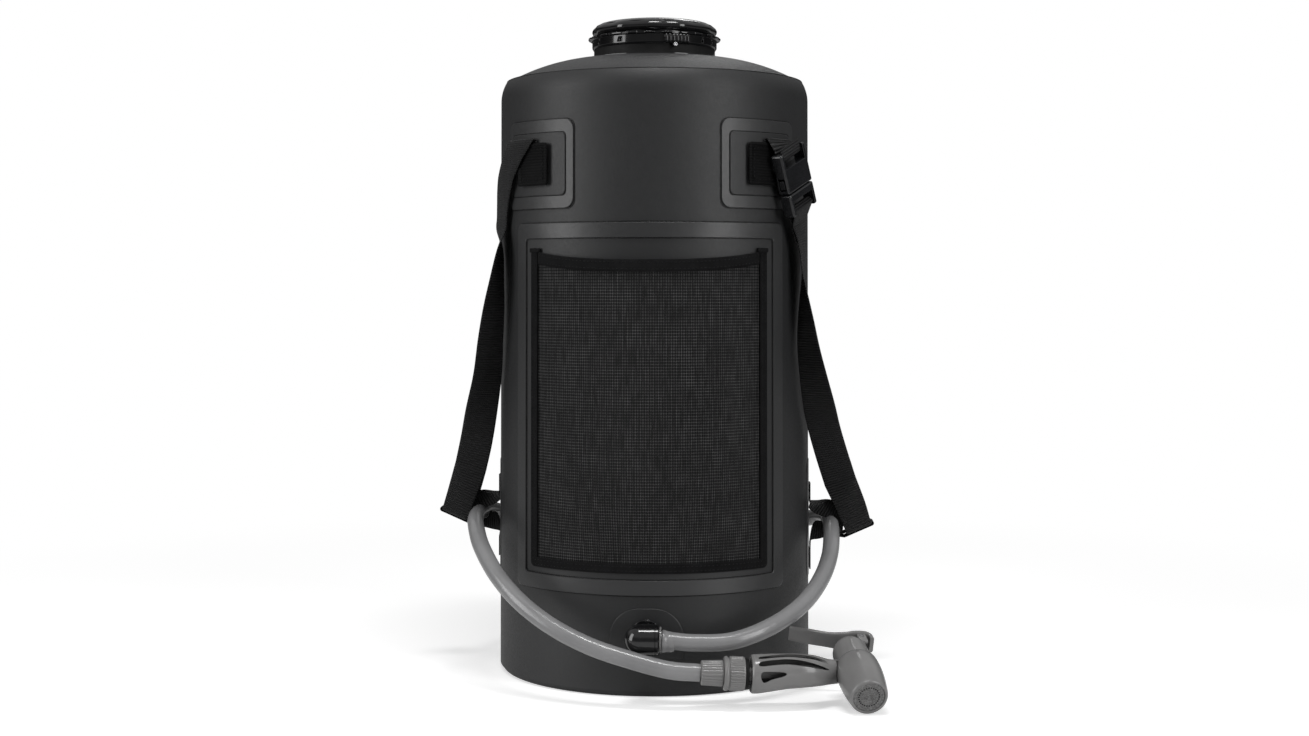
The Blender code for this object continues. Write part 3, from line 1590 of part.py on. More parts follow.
def build_lever(head_place, plastic, steel):
    """The lever hangs on a pin between the barrel's ears and runs back over the handle."""
    pivot = head_place @ Matrix.Translation((pivot_offset, 0, -pivot_back))
    upright = Matrix.Rotation(math.pi / 2, 4, "X")
    hub = knuckle_width / 2
    front = pivot_back - rod_back - seat_gap
    mid = front - lever_thickness / 2
    half = Vector((0, lever_width / 2, 0))
    narrow = Vector((0, hub, 0))
    keys = [
        (Vector((knuckle_radius / 3, 0, mid + lever_thickness / 3)), narrow, Vector()),
        (Vector((-pivot_offset / 2, 0, mid)), narrow, Vector()),
        (Vector((-pivot_offset, 0, mid)), (half + narrow) / 2, Vector()),
        (Vector((-pivot_offset - lever_reach * 0.3, 0, mid - lever_drop * 0.22)), half, Vector()),
        (Vector((-pivot_offset - lever_reach * 0.68, 0, mid - lever_drop * 0.62)), half, Vector()),
        (Vector((-pivot_offset - lever_reach, 0, mid - lever_drop)), half * 0.93, Vector()),
    ]
    lever = ribbon("trigger_lever", eased(keys, 14), lever_thickness, plastic)
    lever.matrix_world = pivot
    knuckle = turned(
        "knuckle",
        [(0, -hub), (knuckle_radius, -hub), (knuckle_radius, hub), (0, hub)],
        plastic,
        pivot @ upright,
        steps=fitting_steps,
    )
    combine(lever, knuckle, "UNION")
    bore = pin_radius + pin_clearance
    drill = turned(
        "knuckle_bore",
        [(0, -hub - overrun), (bore, -hub - overrun), (bore, hub + overrun), (0, hub + overrun)],
        plastic,
        pivot @ upright,
        steps=pin_steps,
    )
    combine(lever, drill)
    reach = hub + seat_gap + ear_thickness
    turned(
        "lever_pin",
        [(0, -reach), (pin_radius, -reach), (pin_radius, reach), (0, reach)],
        steel,
        pivot @ upright,
        steps=pin_steps,
    )


def main():
    """Builds the whole object."""
    for obj in list(bpy.data.objects):
        bpy.data.objects.remove(obj, do_unlink=True)
    tank_look = look("coated fabric", (0.035, 0.036, 0.038), 0.62)
    weld_look = look("welded strip", (0.075, 0.077, 0.08), 0.5)
    webbing_look = look("webbing", (0.009, 0.009, 0.01), 0.85)
    mesh_look = look("mesh", (0.012, 0.012, 0.013), 0.8)
    gloss_look = look("gloss plastic", (0.008, 0.008, 0.009), 0.18)
    buckle_look = look("buckle plastic", (0.03, 0.03, 0.033), 0.35)
    hose_look = look("grey hose", (0.25, 0.25, 0.255), 0.4)
    grey_look = look("grey plastic", (0.235, 0.23, 0.23), 0.42)
    rubber_look = look("rubber", (0.01, 0.01, 0.01), 0.7)
    steel_look = look("steel", (0.6, 0.6, 0.6), 0.25, 1.0)

    side_wall = build_tank(tank_look)
    build_panel(weld_look, tank_look)
    build_pocket(mesh_look, webbing_look)
    build_upper_patches(weld_look, webbing_look)
    outlet_patch = build_lower_patches(weld_look)
    build_left_strap(webbing_look)
    build_right_straps(webbing_look)
    build_anchor_loops(webbing_look)
    build_buckle(buckle_look)
    build_neck(gloss_look, rubber_look, steel_look)
    build_outlet(side_wall, outlet_patch, gloss_look, rubber_look)
    build_hose(hose_look, grey_look)
    handle_place, head_place = sprayer_frames()
    build_couplings(handle_place, grey_look, rubber_look)
    build_sprayer_body(handle_place, head_place, grey_look)
    build_spray_head(head_place, grey_look)
    build_valve(head_place, grey_look, rubber_look, steel_look)


main()
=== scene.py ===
"""A camp shower bag in use: coated fabric, webbing, net and moulded plastic over its CAD frame."""

import math

import bmesh
import bpy
from mathutils import Matrix, Vector


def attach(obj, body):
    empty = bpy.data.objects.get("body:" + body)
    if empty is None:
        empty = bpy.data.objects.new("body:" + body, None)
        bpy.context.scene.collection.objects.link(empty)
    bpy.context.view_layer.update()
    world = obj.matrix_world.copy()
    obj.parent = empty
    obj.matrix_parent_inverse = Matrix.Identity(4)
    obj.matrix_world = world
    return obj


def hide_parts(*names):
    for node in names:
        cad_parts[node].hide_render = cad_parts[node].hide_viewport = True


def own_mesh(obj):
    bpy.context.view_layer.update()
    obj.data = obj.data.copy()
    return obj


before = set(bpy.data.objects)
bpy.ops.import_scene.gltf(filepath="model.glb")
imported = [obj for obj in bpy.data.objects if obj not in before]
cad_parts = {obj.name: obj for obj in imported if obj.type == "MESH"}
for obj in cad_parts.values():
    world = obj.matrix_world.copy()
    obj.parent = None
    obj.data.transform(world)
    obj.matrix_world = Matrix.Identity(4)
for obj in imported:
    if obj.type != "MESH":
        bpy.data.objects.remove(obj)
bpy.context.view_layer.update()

mm = 0.001


# Camera
# It stands a little to the right of the bag's middle, above the pocket, and looks slightly down.

camera_distance = 1.43
camera_height = 0.3008
camera_turn = math.radians(2.8)
camera_pitch = math.radians(2.7)
camera_data = bpy.data.cameras.new("camera")
camera_data.lens = 50.19
camera_data.sensor_width = 36.0
camera = bpy.data.objects.new("camera", camera_data)
camera.location = (
    camera_distance * math.sin(camera_turn),
    -camera_distance * math.cos(camera_turn),
    camera_height,
)
camera.rotation_euler = (math.pi / 2 - camera_pitch, 0, camera_turn)
bpy.context.scene.collection.objects.link(camera)
bpy.context.scene.camera = camera


# Hose
# Soft grey vinyl hose, 12.7 mm thick. It is pushed on the elbow, goes round the back through both side
# loops, and ends in the sprayer's nut.

hose_radius = 6.35 * mm
hose_route = [
    (0.0112, -0.145, 0.047), (0.021, -0.145, 0.0462), (0.0344, -0.1443, 0.045), (0.0592, -0.14, 0.0452),
    (0.0806, -0.13, 0.05), (0.101, -0.113, 0.058), (0.1167, -0.0945, 0.068), (0.1283, -0.072, 0.0805),
    (0.135, -0.05, 0.093), (0.1376, -0.027, 0.105), (0.1376, 0.0, 0.1135), (0.1352, 0.028, 0.114),
    (0.1235, 0.062, 0.108), (0.096, 0.099, 0.0985), (0.052, 0.1275, 0.091), (0.0, 0.1385, 0.088),
    (-0.052, 0.1275, 0.0915), (-0.096, 0.099, 0.1), (-0.1235, 0.062, 0.1105), (-0.135, 0.028, 0.118),
    (-0.1372, 0.0, 0.1195), (-0.1372, -0.027, 0.1185), (-0.1335, -0.052, 0.1135), (-0.1256, -0.0774, 0.102),
    (-0.11, -0.104, 0.0845), (-0.09, -0.1245, 0.0685), (-0.066, -0.14, 0.0545), (-0.038, -0.1512, 0.043),
    (-0.008, -0.1572, 0.0345), (0.018, -0.1594, 0.0285), (0.0396, -0.1573, 0.0265),
]


def smooth_line(points, count):
    """Points on one smooth line through a few."""
    padded = [points[0] * 2 - points[1], *points, points[-1] * 2 - points[-2]]
    line = []
    for i in range(count):
        at = i * (len(points) - 1) / (count - 1)
        k = min(int(at), len(points) - 2)
        t = at - k
        a, b, c, d = padded[k : k + 4]
        cubic = (b * 3 - a - c * 3 + d) * t**3
        line.append((b * 2 + (c - a) * t + (a * 2 - b * 5 + c * 4 - d) * t**2 + cubic) / 2)
    return line


def fitted(piece, node=None, body="bag"):
    """Hides the CAD node a piece stands for, if any, and hangs the piece on the body it rides on."""
    if node:
        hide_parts(node)
    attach(piece, body)
    return piece


def fed(tree, kind, values, **settings):
    """A shader node with its settings, and with sockets or numbers for its inputs."""
    node = tree.nodes.new(kind)
    for name, setting in settings.items():
        setattr(node, name, setting)
    for key, value in values.items():
        if isinstance(value, bpy.types.NodeSocket):
            tree.links.new(value, node.inputs[key])
        else:
            node.inputs[key].default_value = value
    return node


def maths(tree, operation, *values):
    return fed(tree, "ShaderNodeMath", dict(enumerate(values)), operation=operation).outputs[0]


def ranged(tree, value, low, high, to_low=0.0, to_high=1.0, **settings):
    """A value, mapped from one range to another."""
    values = {"Value": value, "From Min": low, "From Max": high, "To Min": to_low, "To Max": to_high}
    return fed(tree, "ShaderNodeMapRange", values, **settings).outputs["Result"]


def node_group(name, numbers, results):
    """An empty group of shader nodes that reads a place and some numbers, with its ends."""
    group = bpy.data.node_groups.new(name, "ShaderNodeTree")
    group.interface.new_socket("Vector", in_out="INPUT", socket_type="NodeSocketVector")
    for socket, value in numbers.items():
        number = group.interface.new_socket(socket, in_out="INPUT", socket_type="NodeSocketFloat")
        number.default_value = value
    for socket in results:
        group.interface.new_socket(socket, in_out="OUTPUT", socket_type="NodeSocketFloat")
    return group, group.nodes.new("NodeGroupInput").outputs, group.nodes.new("NodeGroupOutput").inputs


cloudy, given, sent = node_group("cloudy", {"Size": 0.02, "Low": 0.0, "High": 1.0}, ["Value"])
scale = maths(cloudy, "DIVIDE", 1.0, given["Size"])
noise = fed(cloudy, "ShaderNodeTexNoise", {"Vector": given["Vector"], "Scale": scale, "Detail": 4.0})
cloudy.links.new(ranged(cloudy, noise.outputs["Fac"], 0.3, 0.7, given["Low"], given["High"]), sent["Value"])


def clouds(size, low=0.0, high=1.0):
    """A pattern of soft patches: its group, where it reads its place, its result and its numbers."""
    return cloudy, "Object", "Value", {"Size": size, "Low": low, "High": high}


def drawn(tree, place, pattern):
    """The result of one use of a pattern."""
    group, ways, result, numbers = pattern
    values = {"Vector": place[ways], **numbers}
    return fed(tree, "ShaderNodeGroup", values, node_tree=group).outputs[result]


def new_look(name, roughness, specular=0.5, coat=0.0, metal=0.0):
    """A material with its shader, and with coordinates in metres."""
    material = bpy.data.materials.new(name)
    material.use_nodes = True
    tree = material.node_tree
    shader = tree.nodes["Principled BSDF"]
    shader.inputs["Roughness"].default_value = roughness
    shader.inputs["Specular IOR Level"].default_value = specular
    shader.inputs["Coat Weight"].default_value = coat
    shader.inputs["Metallic"].default_value = metal
    return material, tree, shader, tree.nodes.new("ShaderNodeTexCoord").outputs


def tinted(tree, shader, mask, dark, light):
    """The base colour, between two colours by a mask."""
    mix = fed(
        tree, "ShaderNodeMix", {"Factor": mask, "A": (*dark, 1.0), "B": (*light, 1.0)}, data_type="RGBA"
    )
    tree.links.new(mix.outputs["Result"], shader.inputs["Base Color"])


def raised(tree, shader, height, depth, under=None):
    """Relief of that depth in metres, over any relief that is there."""
    values = {"Distance": depth, "Height": height}
    if under:
        values["Normal"] = under
    normal = fed(tree, "ShaderNodeBump", values).outputs["Normal"]
    tree.links.new(normal, shader.inputs["Normal"])
    return normal


def patterned(name, roughness, tint, dark, light, rubbed=None, reliefs=(), **options):
    """A material with patterns for its tint between two colours, for its roughness and for its relief."""
    material, tree, shader, place = new_look(name, roughness, **options)
    tinted(tree, shader, drawn(tree, place, tint), dark, light)
    if rubbed:
        tree.links.new(drawn(tree, place, rubbed), shader.inputs["Roughness"])
    under = None
    for pattern, depth in reliefs:
        under = raised(tree, shader, drawn(tree, place, pattern), depth, under)
    return material


hose_look = patterned(
    "hose_vinyl",
    0.22,
    clouds(0.03),
    (0.205, 0.205, 0.208),
    (0.245, 0.245, 0.248),
    rubbed=clouds(0.02, 0.18, 0.26),
    reliefs=[(clouds(0.012), 0.15 * mm)],
)

hose_line = smooth_line([Vector(point) for point in hose_route], 180)
hose_data = bpy.data.curves.new("hose_tube", "CURVE")
hose_data.dimensions = "3D"
hose_data.bevel_depth = hose_radius
hose_data.bevel_resolution = 6
hose_data.use_fill_caps = True
hose_data.materials.append(hose_look)
hose_spline = hose_data.splines.new("POLY")
hose_spline.points.add(len(hose_line) - 1)
for target, point in zip(hose_spline.points, hose_line):
    target.co = (*point, 1.0)
    target.radius = 1.0
hose_spline.use_smooth = True
hose_tube = bpy.data.objects.new("hose_tube", hose_data)
bpy.context.scene.collection.objects.link(hose_tube)
fitted(hose_tube, "hose")


# Studio
# A white sweep under soft light: two tall boxes in front, left and right, as the highlights on the tank show.
# What the glossy parts mirror is dark, but for a paler front and the bright space overhead.

white = (1.0, 1.0, 1.0, 1.0)
studio_world = bpy.data.worlds.new("studio")
studio_world.use_nodes = True
tree = studio_world.node_tree
background = tree.nodes["Background"].inputs
background["Color"].default_value = white
rays = tree.nodes.new("ShaderNodeLightPath").outputs
ways = tree.nodes.new("ShaderNodeTexCoord").outputs
split = fed(tree, "ShaderNodeSeparateXYZ", {0: ways["Generated"]}).outputs
forward = ranged(tree, split["Y"], 0.3, -0.9, 0.03, 0.18)
upward = ranged(tree, split["Z"], 0.2, 0.55, 0.0, 0.55)
glints = maths(tree, "MULTIPLY", rays["Is Glossy Ray"], maths(tree, "MAXIMUM", forward, upward))
seen = maths(tree, "MAXIMUM", rays["Is Camera Ray"], rays["Is Transmission Ray"])
fill = maths(tree, "MULTIPLY", rays["Is Diffuse Ray"], 0.18)
tree.links.new(maths(tree, "ADD", maths(tree, "MAXIMUM", seen, glints), fill), background["Strength"])
bpy.context.scene.world = studio_world


def solid(name, bm, look=None):
    """An object of a bmesh that is ready."""
    mesh = bpy.data.meshes.new(name)
    bm.to_mesh(mesh)
    bm.free()
    if look:
        mesh.materials.append(look)
    obj = bpy.data.objects.new(name, mesh)
    bpy.context.scene.collection.objects.link(obj)
    return obj


floor_look, tree, shader, place = new_look("studio_paper", 0.9, specular=0.0)
reach = fed(tree, "ShaderNodeVectorMath", {0: place["Object"]}, operation="LENGTH").outputs["Value"]
far = ranged(tree, reach, 0.25, 1.0, interpolation_type="SMOOTHSTEP")
tinted(tree, shader, far, (0.82, 0.82, 0.82), (0.0, 0.0, 0.0))
rays = tree.nodes.new("ShaderNodeLightPath").outputs
seen = maths(tree, "ADD", rays["Is Camera Ray"], maths(tree, "MULTIPLY", rays["Is Glossy Ray"], 0.3))
glow = maths(tree, "ADD", maths(tree, "MULTIPLY", far, 0.5), 0.5)
shader.inputs["Emission Color"].default_value = white
tree.links.new(maths(tree, "MULTIPLY", seen, glow), shader.inputs["Emission Strength"])
sweep = bmesh.new()
bmesh.ops.create_grid(sweep, x_segments=1, y_segments=1, size=6.0)
solid("floor", sweep, floor_look)

# Each lamp's azimuth, 0 in front and 90 on the right, its distance, height, size and power.
lamps = {
    "left_box": (-64, 1.6, 0.55, (0.7, 1.5), 15.0),
    "right_box": (50, 1.6, 0.55, (0.6, 1.5), 14.0),
    "top_box": (10, 0.45, 1.6, (0.6, 0.2), 10.0),
    "back_box": (172, 0.9, 1.2, (0.2, 0.16), 0.6),
}
lamp_aim = Vector((0, 0, 0.25))
for name, (azimuth, distance, height, size, power) in lamps.items():
    data = bpy.data.lights.new(name, "AREA")
    data.shape = "RECTANGLE"
    data.size, data.size_y = size
    data.energy = power
    lamp = bpy.data.objects.new(name, data)
    angle = math.radians(azimuth)
    lamp.location = (distance * math.sin(angle), -distance * math.cos(angle), height)
    lamp.rotation_euler = (lamp_aim - lamp.location).to_track_quat("-Z", "Y").to_euler()
    bpy.context.scene.collection.objects.link(lamp)


# Tank
# Three panels of coated fabric, lap-welded: a wall with a rounded shoulder, a domed top with a neck, and a
# base.

base_radius = 121.2 * mm
top_radius = 118.8 * mm
mean_radius = (base_radius + top_radius) / 2
wall_bottom = 4.0 * mm
wall_top = 449.0 * mm
seam_height = 454.0 * mm
fabric = 1.2 * mm
seam_gap = 0.3 * mm
lap = 12.0 * mm
bottom_corner = 3.0 * mm
neck_foot = 472.0 * mm
neck_bore = 44.8 * mm + seam_gap
collar_bottom = 480.2 * mm
collar_top = 489.0 * mm


def wall_radius(height):
    return base_radius + (top_radius - base_radius) * height / wall_top


def fan(angle, steps):
    """Equal steps of an angle, from 0 to all of it."""
    return [angle * i / steps for i in range(steps + 1)]


def skinned(name, loops, places, look, smooth=40.0):
    """A mesh through loops of equally many points, with the place of each on the cloth in metres.

    What closes on itself repeats its first point or loop.
    """
    bm = bmesh.new()
    layer = bm.loops.layers.uv.new("cloth")
    rows = [[bm.verts.new(point) for point in loop] for loop in loops]
    for i in range(len(rows) - 1):
        for j in range(len(rows[i]) - 1):
            corners = ((i, j), (i, j + 1), (i + 1, j + 1), (i + 1, j))
            face = bm.faces.new([rows[a][b] for a, b in corners])
            face.smooth = True
            for corner, (a, b) in zip(face.loops, corners):
                corner[layer].uv = places[a][b]
    bmesh.ops.remove_doubles(bm, verts=bm.verts, dist=0.004 * mm)
    bmesh.ops.recalc_face_normals(bm, faces=bm.faces)
    obj = solid(name, bm, look)
    obj.data.set_sharp_from_angle(angle=math.radians(smooth))
    return obj


def lathed(name, outline, look):
    """A shell of revolution about the tank's axis, from (radius, height) round its section."""
    closed = outline + outline[:1]
    angles = fan(2 * math.pi, 144)
    loops, places = [], []
    travelled = 0.0
    for i, (radius, height) in enumerate(closed):
        if i:
            travelled += math.hypot(radius - closed[i - 1][0], height - closed[i - 1][1])
        loops.append([(radius * math.sin(a), radius * math.cos(a), height) for a in angles])
        places.append([(mean_radius * a, travelled) for a in angles])
    return skinned(name, loops, places, look)


def arches(tree, phase):
    """Round arches, one to each unit of the phase."""
    return maths(tree, "ABSOLUTE", maths(tree, "SINE", maths(tree, "MULTIPLY", phase, math.pi)))


def counted(tree, given, across, along):
    """How many threads from the cloth's corner a place lies, both ways, where each thread has that width."""
    split = fed(tree, "ShaderNodeSeparateXYZ", {0: given["Vector"]}).outputs
    return maths(tree, "DIVIDE", split["X"], given[across]), maths(tree, "DIVIDE", split["Y"], given[along])


weave, given, sent = node_group("weave", {"Warp": 0.001, "Weft": 0.001}, ["Height", "Hole"])
across, along = counted(weave, given, "Warp", "Weft")
warp_round, weft_round = arches(weave, across), arches(weave, along)
turn = maths(weave, "ADD", maths(weave, "FLOOR", across), maths(weave, "FLOOR", along))
over = maths(weave, "FLOORED_MODULO", turn, 2.0)
pick = fed(weave, "ShaderNodeMix", {"Factor": over, "A": warp_round, "B": weft_round})
weave.links.new(pick.outputs["Result"], sent["Height"])
weave.links.new(maths(weave, "MULTIPLY", warp_round, weft_round), sent["Hole"])


def threads(warp, weft, result="Height"):
    """A pattern of plain weave, as high as its threads or as open as its holes."""
    return weave, "UV", result, {"Warp": warp, "Weft": weft}


def coated(name, roughness, dark, light, specular):
    """Coated fabric: a matt skin in which the cloth beneath shows faintly."""
    rubbed = clouds(0.0016, roughness - 0.06, roughness + 0.06)
    reliefs = [(threads(0.7 * mm, 0.7 * mm), 0.02 * mm), (clouds(0.06), 0.35 * mm)]
    return patterned(name, roughness, clouds(0.09), dark, light, rubbed, reliefs, specular=specular)


tank_look = coated("tank_fabric", 0.50, (0.0145, 0.0148, 0.0154), (0.0175, 0.0178, 0.0185), 0.42)

wall_steps, shoulder_steps = 24, 10
shoulder_rise, shoulder_depth, shoulder_power = 15.0 * mm, 4.0 * mm, 2.2
shoulder_foot = seam_height - shoulder_rise
wall_heights = [wall_bottom + (shoulder_foot - wall_bottom) * i / wall_steps for i in range(wall_steps)]
wall_heights += [shoulder_foot + step for step in fan(shoulder_rise, shoulder_steps)]
wall_outline = []
for z in wall_heights:
    leaning = shoulder_depth * max((z - shoulder_foot) / shoulder_rise, 0) ** shoulder_power
    wall_outline.append((wall_radius(z) - leaning, z))
wall_outline += [(radius - fabric, z) for radius, z in reversed(wall_outline)]
fitted(lathed("tank_wall", wall_outline, tank_look), "side_wall")

skirt = wall_radius(seam_height) - fabric - seam_gap
seam_radius = skirt - shoulder_depth
neck_outer = neck_bore + 2 * fabric
neck_top = collar_top - 0.5 * mm
dome = []
for i in range(21):
    share = 1 - i / 20
    radius = neck_outer + (seam_radius - neck_outer) * share
    dome.append((radius, neck_foot - (neck_foot - seam_height) * share**2.0))
top_outline = [(skirt, seam_height - lap), *dome, (neck_bore + fabric, neck_foot + 1.8 * mm)]
top_outline += [(neck_bore + fabric, neck_top), (neck_bore, neck_top), (neck_bore, neck_foot - fabric)]
top_outline += [(radius - fabric / 2, height - fabric) for radius, height in reversed(dome)]
top_outline += [(skirt - fabric, seam_height - lap)]
fitted(lathed("tank_top", top_outline, tank_look), "top_panel")

rim = wall_radius(wall_bottom) - fabric - seam_gap
bend = fan(math.pi / 2, 8)
under = [(rim - bottom_corner * (1 - math.sin(a)), bottom_corner * (1 - math.cos(a))) for a in bend]
hollow = bottom_corner - fabric
above = [(rim - fabric - hollow * (1 - math.sin(a)), fabric + hollow * (1 - math.cos(a))) for a in bend]
base_outline = [(0, 0), *under, (rim, wall_bottom + lap), (rim - fabric, wall_bottom + lap)]
base_outline += [*above[::-1], (0, fabric)]
fitted(lathed("tank_base", base_outline, tank_look), "bottom_panel")


# Front panel
# A panel welded to the wall under the pocket. The bar of the welder leaves its edge pressed smooth.

patch_thickness = 1.0 * mm
panel_half_angle = math.radians(54.0)
panel_bottom = 74.4 * mm
panel_top = 343.7 * mm
panel_corner = 5.0 * mm
border_width = 11.0 * mm
border_thickness = 0.7 * mm
softened = 0.25 * mm


def on_wall(arc, height, standoff):
    """The point that stands off the wall, an arc's length round from the front."""
    angle = arc / mean_radius
    radius = wall_radius(height) + standoff
    return Vector((radius * math.sin(angle), -radius * math.cos(angle), height))


def spread(half, count):
    """Equal steps from one side of the middle to the other."""
    return [(2 * i / count - 1) * half for i in range(count + 1)]


def round_rectangle(middle, width, low, high, corner, runs=48, turns=8, foot=1):
    """Columns (arc, bottom, top) of a rectangle with round corners."""
    half = width / 2
    turned = fan(math.pi / 2, turns)
    left = [(corner * (1 - math.cos(a)) - half, corner * (1 - math.sin(a))) for a in turned]
    flat = [(arc, 0) for arc in spread(half - corner, runs)[1:-1]]
    right = [(-arc, rise) for arc, rise in reversed(left)]
    return [(middle + arc, low + rise * foot, high - rise) for arc, rise in left + flat + right]


def on_wall_piece(name, layers, look, closed=True, lift=None):
    """A flat piece laid on the wall, from (columns, standoff) of its back, edge and face."""
    loops, places = [], []
    first, last = layers[0], layers[-1]
    if closed:
        layers = [(middled(first[0]), first[1]), *layers, (middled(last[0]), last[1])]
    else:
        layers = [*layers, first]
    for columns, standoff in layers:
        rim = [(arc, top) for arc, _, top in columns] + [(arc, low) for arc, low, _ in reversed(columns)]
        rim.append(rim[0])
        loops.append([on_wall(arc, z, standoff + (lift(arc, z) if lift else 0)) for arc, z in rim])
        places.append(rim)
    return skinned(name, loops, places, look)


def middled(columns):
    """The same columns, drawn in to the line halfway up them."""
    return [(arc, (low + high) / 2, (low + high) / 2) for arc, low, high in columns]


def inset(columns, by):
    """The same columns, drawn in a little at each side."""
    left, right = columns[0][0], columns[-1][0]
    share = 1 - 2 * by / (right - left)
    middle = (left + right) / 2
    return [(middle + (arc - middle) * share, low + by, high - by) for arc, low, high in columns]


def soft_edge(columns, low, high, inward=1):
    """Layers from the foot of a piece's edge up to its face, over a soft corner."""
    return [
        (columns, low),
        (columns, high - softened),
        (inset(columns, inward * softened), high),
        (inset(columns, inward * 3 * softened), high),
    ]


# Lighter in colour than the tank fabric: painted sheen, over the real gloss that its lower roughness gives.
welded_look = coated("welded_strip_painted_sheen", 0.38, (0.023, 0.0233, 0.024), (0.028, 0.0283, 0.029), 0.5)
panel_width = 2 * panel_half_angle * mean_radius
panel_columns = round_rectangle(0, panel_width, panel_bottom, panel_top, panel_corner)
panel_face = seam_gap + patch_thickness
welded_panel = on_wall_piece("welded_panel", soft_edge(panel_columns, seam_gap, panel_face), tank_look)
fitted(welded_panel, "front_panel")

border_inner = round_rectangle(
    0, panel_width - 2 * border_width, panel_bottom + border_width, panel_top - border_width, panel_corner / 2
)
border_low = panel_face + seam_gap
border_high = border_low + border_thickness
layers = soft_edge(panel_columns, border_low, border_high)
layers += reversed(soft_edge(border_inner, border_low, border_high, inward=-1))
border = on_wall_piece("panel_border_strip", layers, welded_look, closed=False)
fitted(border, "panel_border")


# Pocket
# Black knitted net in a binding of folded tape, sewn down both sides and along the foot. A hem closes its
# mouth.

pocket_half_angle = math.radians(45.0)
pocket_bottom = 90.5 * mm
pocket_top = 324.0 * mm
pocket_sag = 7.0 * mm
pocket_bulge = 8.5 * mm
pocket_corner = 4.0 * mm
binding_width = 7.0 * mm
binding_thickness = 1.0 * mm
hem_height = 9.0 * mm
net_thickness = 0.7 * mm
pocket_half = pocket_half_angle * mean_radius
pocket_base = 2 * seam_gap + patch_thickness


def pocket_lift(arc, height):
    """How far the net bellies from the panel."""
    reach = pocket_half - binding_width - 0.5 * mm
    side_share = math.cos(math.pi / 2 * min(abs(arc) / reach, 1))
    rise_share = (height - pocket_bottom - binding_width - 0.5 * mm) / (pocket_top - pocket_bottom)
    return pocket_bulge * side_share * math.sin(math.pi / 2 * min(max(rise_share, 0) * 3, 1))


def hem_top(arc):
    """Height of the pocket's mouth, which sags between its corners."""
    return pocket_top - pocket_sag * (1 - abs(arc / pocket_half) ** 2.4)


net_look, tree, shader, place = new_look("net", 0.6, specular=0.15)
hole = drawn(tree, place, threads(1.7 * mm, 2.2 * mm, "Hole"))
# The holes stay half opaque and take the near-black colour: painted shade of the pocket behind the net.
tree.links.new(ranged(tree, hole, 0.50, 0.58, 1.0, 0.5), shader.inputs["Alpha"])
strands = maths(tree, "SUBTRACT", 1.0, hole)
faded = maths(tree, "ADD", maths(tree, "MULTIPLY", drawn(tree, place, clouds(0.02)), 0.4), 0.6)
streaks = {"Size": 0.0018, "Low": 0.45, "High": 1.55}
stretched = fed(tree, "ShaderNodeVectorMath", {0: place["UV"], 1: (1.0, 0.12, 1.0)}, operation="MULTIPLY")
pulled = drawn(tree, stretched.outputs, (cloudy, "Vector", "Value", streaks))
lit = maths(tree, "MULTIPLY", maths(tree, "MULTIPLY", maths(tree, "POWER", strands, 6.0), faded), pulled)
tinted(tree, shader, lit, (0.0010, 0.0010, 0.0011), (0.095, 0.095, 0.096))
raised(tree, shader, strands, 0.4 * mm)

net_half = pocket_half - binding_width / 2
net_low = pocket_bottom + binding_width / 2
net_standoff = pocket_base + net_thickness / 2
net_columns, net_rows = 72, 64
net_grid, net_places = [], []
for i in range(net_rows + 1):
    row = []
    for arc in spread(net_half, net_columns):
        row.append((arc, net_low + (hem_top(arc) - hem_height / 2 - net_low) * i / net_rows))
    net_places.append(row)
    net_grid.append([on_wall(arc, z, net_standoff + pocket_lift(arc, z)) for arc, z in row])
net = fitted(skinned("net_sheet", net_grid, net_places, net_look), "pocket_net")

tape_look = patterned(
    "binding_tape",
    0.7,
    clouds(0.01),
    (0.0030, 0.0030, 0.0033),
    (0.0065, 0.0065, 0.007),
    reliefs=[(threads(0.45 * mm, 0.6 * mm), 0.15 * mm)],
    specular=0.12,
)
thread_look = patterned(
    "sewing_thread",
    0.6,
    clouds(0.002),
    (0.0025, 0.0025, 0.003),
    (0.008, 0.008, 0.0085),
    reliefs=[(clouds(0.0005), 0.08 * mm)],
    specular=0.15,
)


def off_axis(point):
    """The way off the tank's axis."""
    return Vector((point.x, point.y, 0)).normalized()


def stitched(name, line):
    """A row of lockstitches along a line on the wall."""
    pitch, length, thick = 3.2 * mm, 2.3 * mm, 0.34 * mm
    bm = bmesh.new()
    travelled, goal = 0.0, pitch / 2
    for start, end in zip(line, line[1:]):
        run = (end - start).length
        while goal < travelled + run:
            middle = start.lerp(end, (goal - travelled) / run)
            along = (end - start).normalized()
            up = off_axis(middle)
            across = along.cross(up).normalized()
            turn = Matrix((along * length / 2, across * thick, up * thick)).transposed().to_4x4()
            spot = Matrix.Translation(middle) @ turn
            bmesh.ops.create_icosphere(bm, subdivisions=1, radius=1.0, matrix=spot)
            goal += pitch
        travelled += run
    for face in bm.faces:
        face.smooth = True
    fitted(solid(name, bm, thread_look))


over_net = pocket_base + net_thickness + seam_gap
over_tape = over_net + binding_thickness
hem_half = pocket_half - binding_width - seam_gap
hem_columns = [(arc, hem_top(arc) - hem_height, hem_top(arc)) for arc in spread(hem_half, 96)]
layers = [
    (hem_columns, over_net),
    (hem_columns, over_net + 0.5 * mm),
    (inset(hem_columns, 0.4 * mm), over_net + 0.9 * mm),
    (inset(hem_columns, 1.6 * mm), over_tape),
]
hem = on_wall_piece("pocket_hem_tape", layers, tape_look, lift=pocket_lift)
fitted(hem, "pocket_hem")
for row, drop in (("upper", 2.2 * mm), ("lower", 7.0 * mm)):
    spots = [(arc, hem_top(arc) - drop) for arc in spread(hem_half - 1.5 * mm, 96)]
    line = [on_wall(arc, z, over_tape + pocket_lift(arc, z)) for arc, z in spots]
    stitched(f"hem_stitches_{row}", line)


